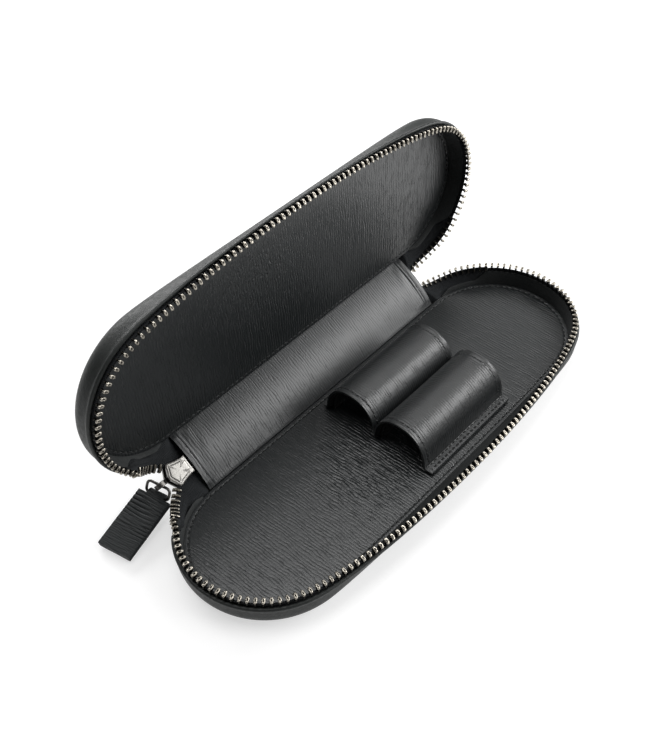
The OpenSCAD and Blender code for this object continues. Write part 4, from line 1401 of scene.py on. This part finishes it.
def ring_wire(s):
    """A rounded rectangle of wire: four quarter turns, with the wire's section carried round them."""
    bend, half, far = s.ring_bend, s.ring_width / 2 - s.ring_bend, s.ring_length - s.ring_bend
    path = []
    for x, y, start in ((bend, half, 90), (bend, -half, 180), (far, -half, 270), (far, half, 0)):
        a = np.radians(np.linspace(start, start + 90, 9))
        path.append(np.stack([x + bend * np.cos(a), y + bend * np.sin(a), np.zeros(9)], -1))
    loop = resample(np.vstack([*path, path[0][:1]]), 97)[:-1]
    return Skin().grid(tube(loop, s.wire / 2, 16, closed=True))


def pull_layers(s):
    """Two layers of leather; the upper one is creased across and folds round the wire."""
    top = s.wire / 2 + 0.1 + s.tab_layer / 2
    u, v = np.meshgrid(np.linspace(0.9, s.tab_length, 220), np.linspace(-1, 1, 40), indexing="ij")
    half = s.tab_width / 2
    phase = u / 1.25 + 0.4 * ripple(u * 0.3, v * 1.1, 11, 7)
    depth = 0.6 + 0.4 * ripple(u * 0.5, v * 1.2, 5, 5)
    valley = np.abs(2 * (phase % 1) - 1)
    fade = smooth((u - 1.0) / 1.5) * (1 - 0.9 * smooth((u - 12.5) / 4))
    crease = -0.32 * fade * depth * (1 - smooth(valley / 0.75))
    flat = np.dstack([u, v * half])
    upper = Skin().slab(np.dstack([flat, top + crease - 0.1 * v**6]), s.tab_layer, flat)
    a = np.linspace(math.pi / 2, 1.45 * math.pi, 16)
    wrap = np.vstack([[[3.0, top], [1.2, top]], np.stack([top * np.cos(a), top * np.sin(a)], -1)])
    neck = s.ring_width / 2 - 1.35
    across = np.repeat(np.linspace(-neck, neck, 14)[None], len(wrap), 0)
    rolled = [np.repeat(wrap[:, k, None], 14, 1) for k in (0, 1)]
    upper.slab(np.dstack([rolled[0], across, rolled[1]]), s.tab_layer * 0.92)
    under = np.dstack([u, v * (half - 0.12), top - s.tab_layer - 0.08 + crease * 0.4])
    return upper, Skin().slab(under, s.tab_layer, flat)


class PEN_OT_slider(bpy.types.Operator):
    """Zip slider with its satin plate, the wire ring and the leather pull"""

    bl_idname = "pen_case.slider"
    bl_label = "Slider and pull"

    def execute(self, context):
        s = Sizes(context)
        dress(s, "slider_body", "dark_metal")
        at = turn_matrix((s.slider_x, s.tail_y, s.mesh_height), ("X", math.pi / 2), ("Y", math.pi))

        def on_slider(p):
            return on_spine(s, carry(at, p))

        piece(s, "slider_plate", slider_plate(s), "plate", "slider", place=on_slider, closed=False)
        on_ring, on_tab = (functools.partial(carry, matrix) for matrix in (ring_place(s)[0], tab_place(s)))
        piece(s, "ring_wire", ring_wire(s), "dark_metal", "ring", "pull_ring", place=on_ring)
        upper, lower = pull_layers(s)
        piece(s, "pull_leather_upper", upper, "tab", "tab", "pull_tab_front", place=on_tab)
        piece(s, "pull_leather_lower", lower, "tab", "tab", "pull_tab_back", place=on_tab)
        return {"FINISHED"}


# ---------------------------------------------------------------- stage

# The view: directions in degrees, the lens and the target's place in pixels of a picture of
# PICTURE pixels, and the distance to the target, which stands TARGET_Z above the table, in mm.
VIEW = {"az": -46.813, "el": 45.804, "roll": -2.0}
VIEW.update({"focal": 1009.6, "x": 392.417, "y": 429.648, "away": 327.917})
PICTURE = (645, 742)
TARGET_Z = 1.3
SENSOR = 36
# Each lamp: name, direction, distance and size in metres, and power in watts.
LAMPS = (
    ("overhead_softbox", (0.0, 0.20, 1.0), 1.0, (0.8, 0.5), 4.9),
    ("front_softbox", (0.46, -0.655, 0.60), 0.7, (0.42, 0.42), 2.6),
    ("far_softbox", (0.60, 0.38, 0.72), 0.8, (0.4, 0.4), 0.4),
    ("back_softbox", (0.30, 0.85, 0.45), 0.8, (0.6, 0.25), 4.8),
    ("side_softbox", (0.80, -0.25, 0.35), 0.4, (0.2, 0.2), 0.9),
)
LAMP_TARGET = (0, 0.01, 0.02)
WORLD_LIGHT = 0.07
PAPER, PAPER_GLOW = "#bcbcbc", 0.6


def stand(thing, place, x, y, z):
    """Puts a lamp or the camera at a place, with its own axes along x, y and z."""
    turn = Matrix(np.column_stack([x, y, z]).tolist()).to_4x4()
    thing.matrix_world = Matrix.Translation(place) @ turn
    bpy.context.scene.collection.objects.link(thing)


class PEN_OT_stage(bpy.types.Operator):
    """White table, soft lights and the camera"""

    bl_idname = "pen_case.stage"
    bl_label = "Stage"

    def execute(self, context):
        self.camera(context.scene)
        flat = np.linspace(-3000, 3000, 41)
        sheet = np.dstack([*np.meshgrid(flat, flat, indexing="ij"), np.full((41, 41), -0.05)])
        finish = material("paper_sheet_white", paper, linear(PAPER), PAPER_GLOW)
        floor = Skin().grid(sheet).build("table", finish, np.asarray, closed=False)
        floor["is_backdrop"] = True
        context.scene.world = world = bpy.data.worlds.new("studio")
        world.use_nodes = True
        world.node_tree.nodes.clear()
        light = node(world.node_tree, "Background", {"Color": (1, 1, 1, 1), "Strength": WORLD_LIGHT})
        node(world.node_tree, "OutputWorld", {"Surface": light})
        context.scene.view_settings.view_transform = "Standard"
        for lamp in LAMPS:
            self.lamp(*lamp)
        return {"FINISHED"}

    def camera(self, scene):
        """The camera looks back along its direction, rolled, and is shifted until the target fits."""
        az, el, roll = (math.radians(VIEW[k]) for k in ("az", "el", "roll"))
        back = np.array([math.sin(az) * math.cos(el), -math.cos(az) * math.cos(el), math.sin(el)])
        right = unit(np.cross(-back, UP))
        up = np.cross(right, -back)
        side = math.cos(roll) * right + math.sin(roll) * up
        top = -math.sin(roll) * right + math.cos(roll) * up
        x, y = ((VIEW[k] - pixels / 2) * VIEW["away"] / VIEW["focal"] for k, pixels in zip("xy", PICTURE))
        place = y * top - x * side + VIEW["away"] * back + [0, 0, TARGET_Z]
        data = bpy.data.cameras.new("camera")
        data.sensor_width, data.sensor_fit = SENSOR, "AUTO"
        data.lens = VIEW["focal"] / max(PICTURE) * SENSOR
        data.clip_start, data.clip_end = 0.01, 20
        scene.camera = bpy.data.objects.new("camera", data)
        stand(scene.camera, place * MM, side, top, back)

    def lamp(self, name, way, distance, size, power):
        """A rectangular lamp at a distance along its direction, facing the lamps' target."""
        data = bpy.data.lights.new(name, "AREA")
        data.shape, data.size, data.size_y, data.energy = "RECTANGLE", *size, power
        way = unit(np.array(way))
        x = unit(np.cross(UP, way))
        stand(bpy.data.objects.new(name, data), way * distance + LAMP_TARGET, x, np.cross(way, x), way)


# ---------------------------------------------------------------- add-on

PIECES = (
    PEN_OT_stage,
    PEN_OT_shells,
    PEN_OT_linings,
    PEN_OT_boards,
    PEN_OT_zip_tapes,
    PEN_OT_zip_teeth,
    PEN_OT_spine,
    PEN_OT_pen_loops,
    PEN_OT_stitching,
    PEN_OT_slider,
)

GROUPS = {
    "pen_case_body": PenCaseBody,
    "pen_case_zip": PenCaseZip,
    "pen_case_loops": PenCaseLoops,
    "pen_case_colours": PenCaseColours,
}


class PEN_PT_panel(bpy.types.Panel):
    """Sizes, colours and pieces of the pen case"""

    bl_label = "Pen case"
    bl_idname = "PEN_PT_panel"
    bl_space_type = "VIEW_3D"
    bl_region_type = "UI"
    bl_category = "Pen case"

    def draw(self, context):
        for name, group in GROUPS.items():
            box = self.layout.box()
            for key in group.__annotations__:
                box.prop(getattr(context.scene, name), key)
        for made in PIECES:
            self.layout.operator(made.bl_idname)


def register():
    for made in (*GROUPS.values(), *PIECES, PEN_PT_panel):
        bpy.utils.register_class(made)
    for name, group in GROUPS.items():
        setattr(bpy.types.Scene, name, PointerProperty(type=group))


def unregister():
    for name in GROUPS:
        delattr(bpy.types.Scene, name)
    for made in (PEN_PT_panel, *reversed(PIECES), *reversed(GROUPS.values())):
        bpy.utils.unregister_class(made)


def main():
    register()
    for made in PIECES:
        getattr(bpy.ops.pen_case, made.bl_idname.split(".")[1])()
    corners = {"cad": CAD_BOX, "visual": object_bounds()}
    {k: [list(c) for c in v] for k, v in corners.items()}


if __name__ == "__main__":
    main()
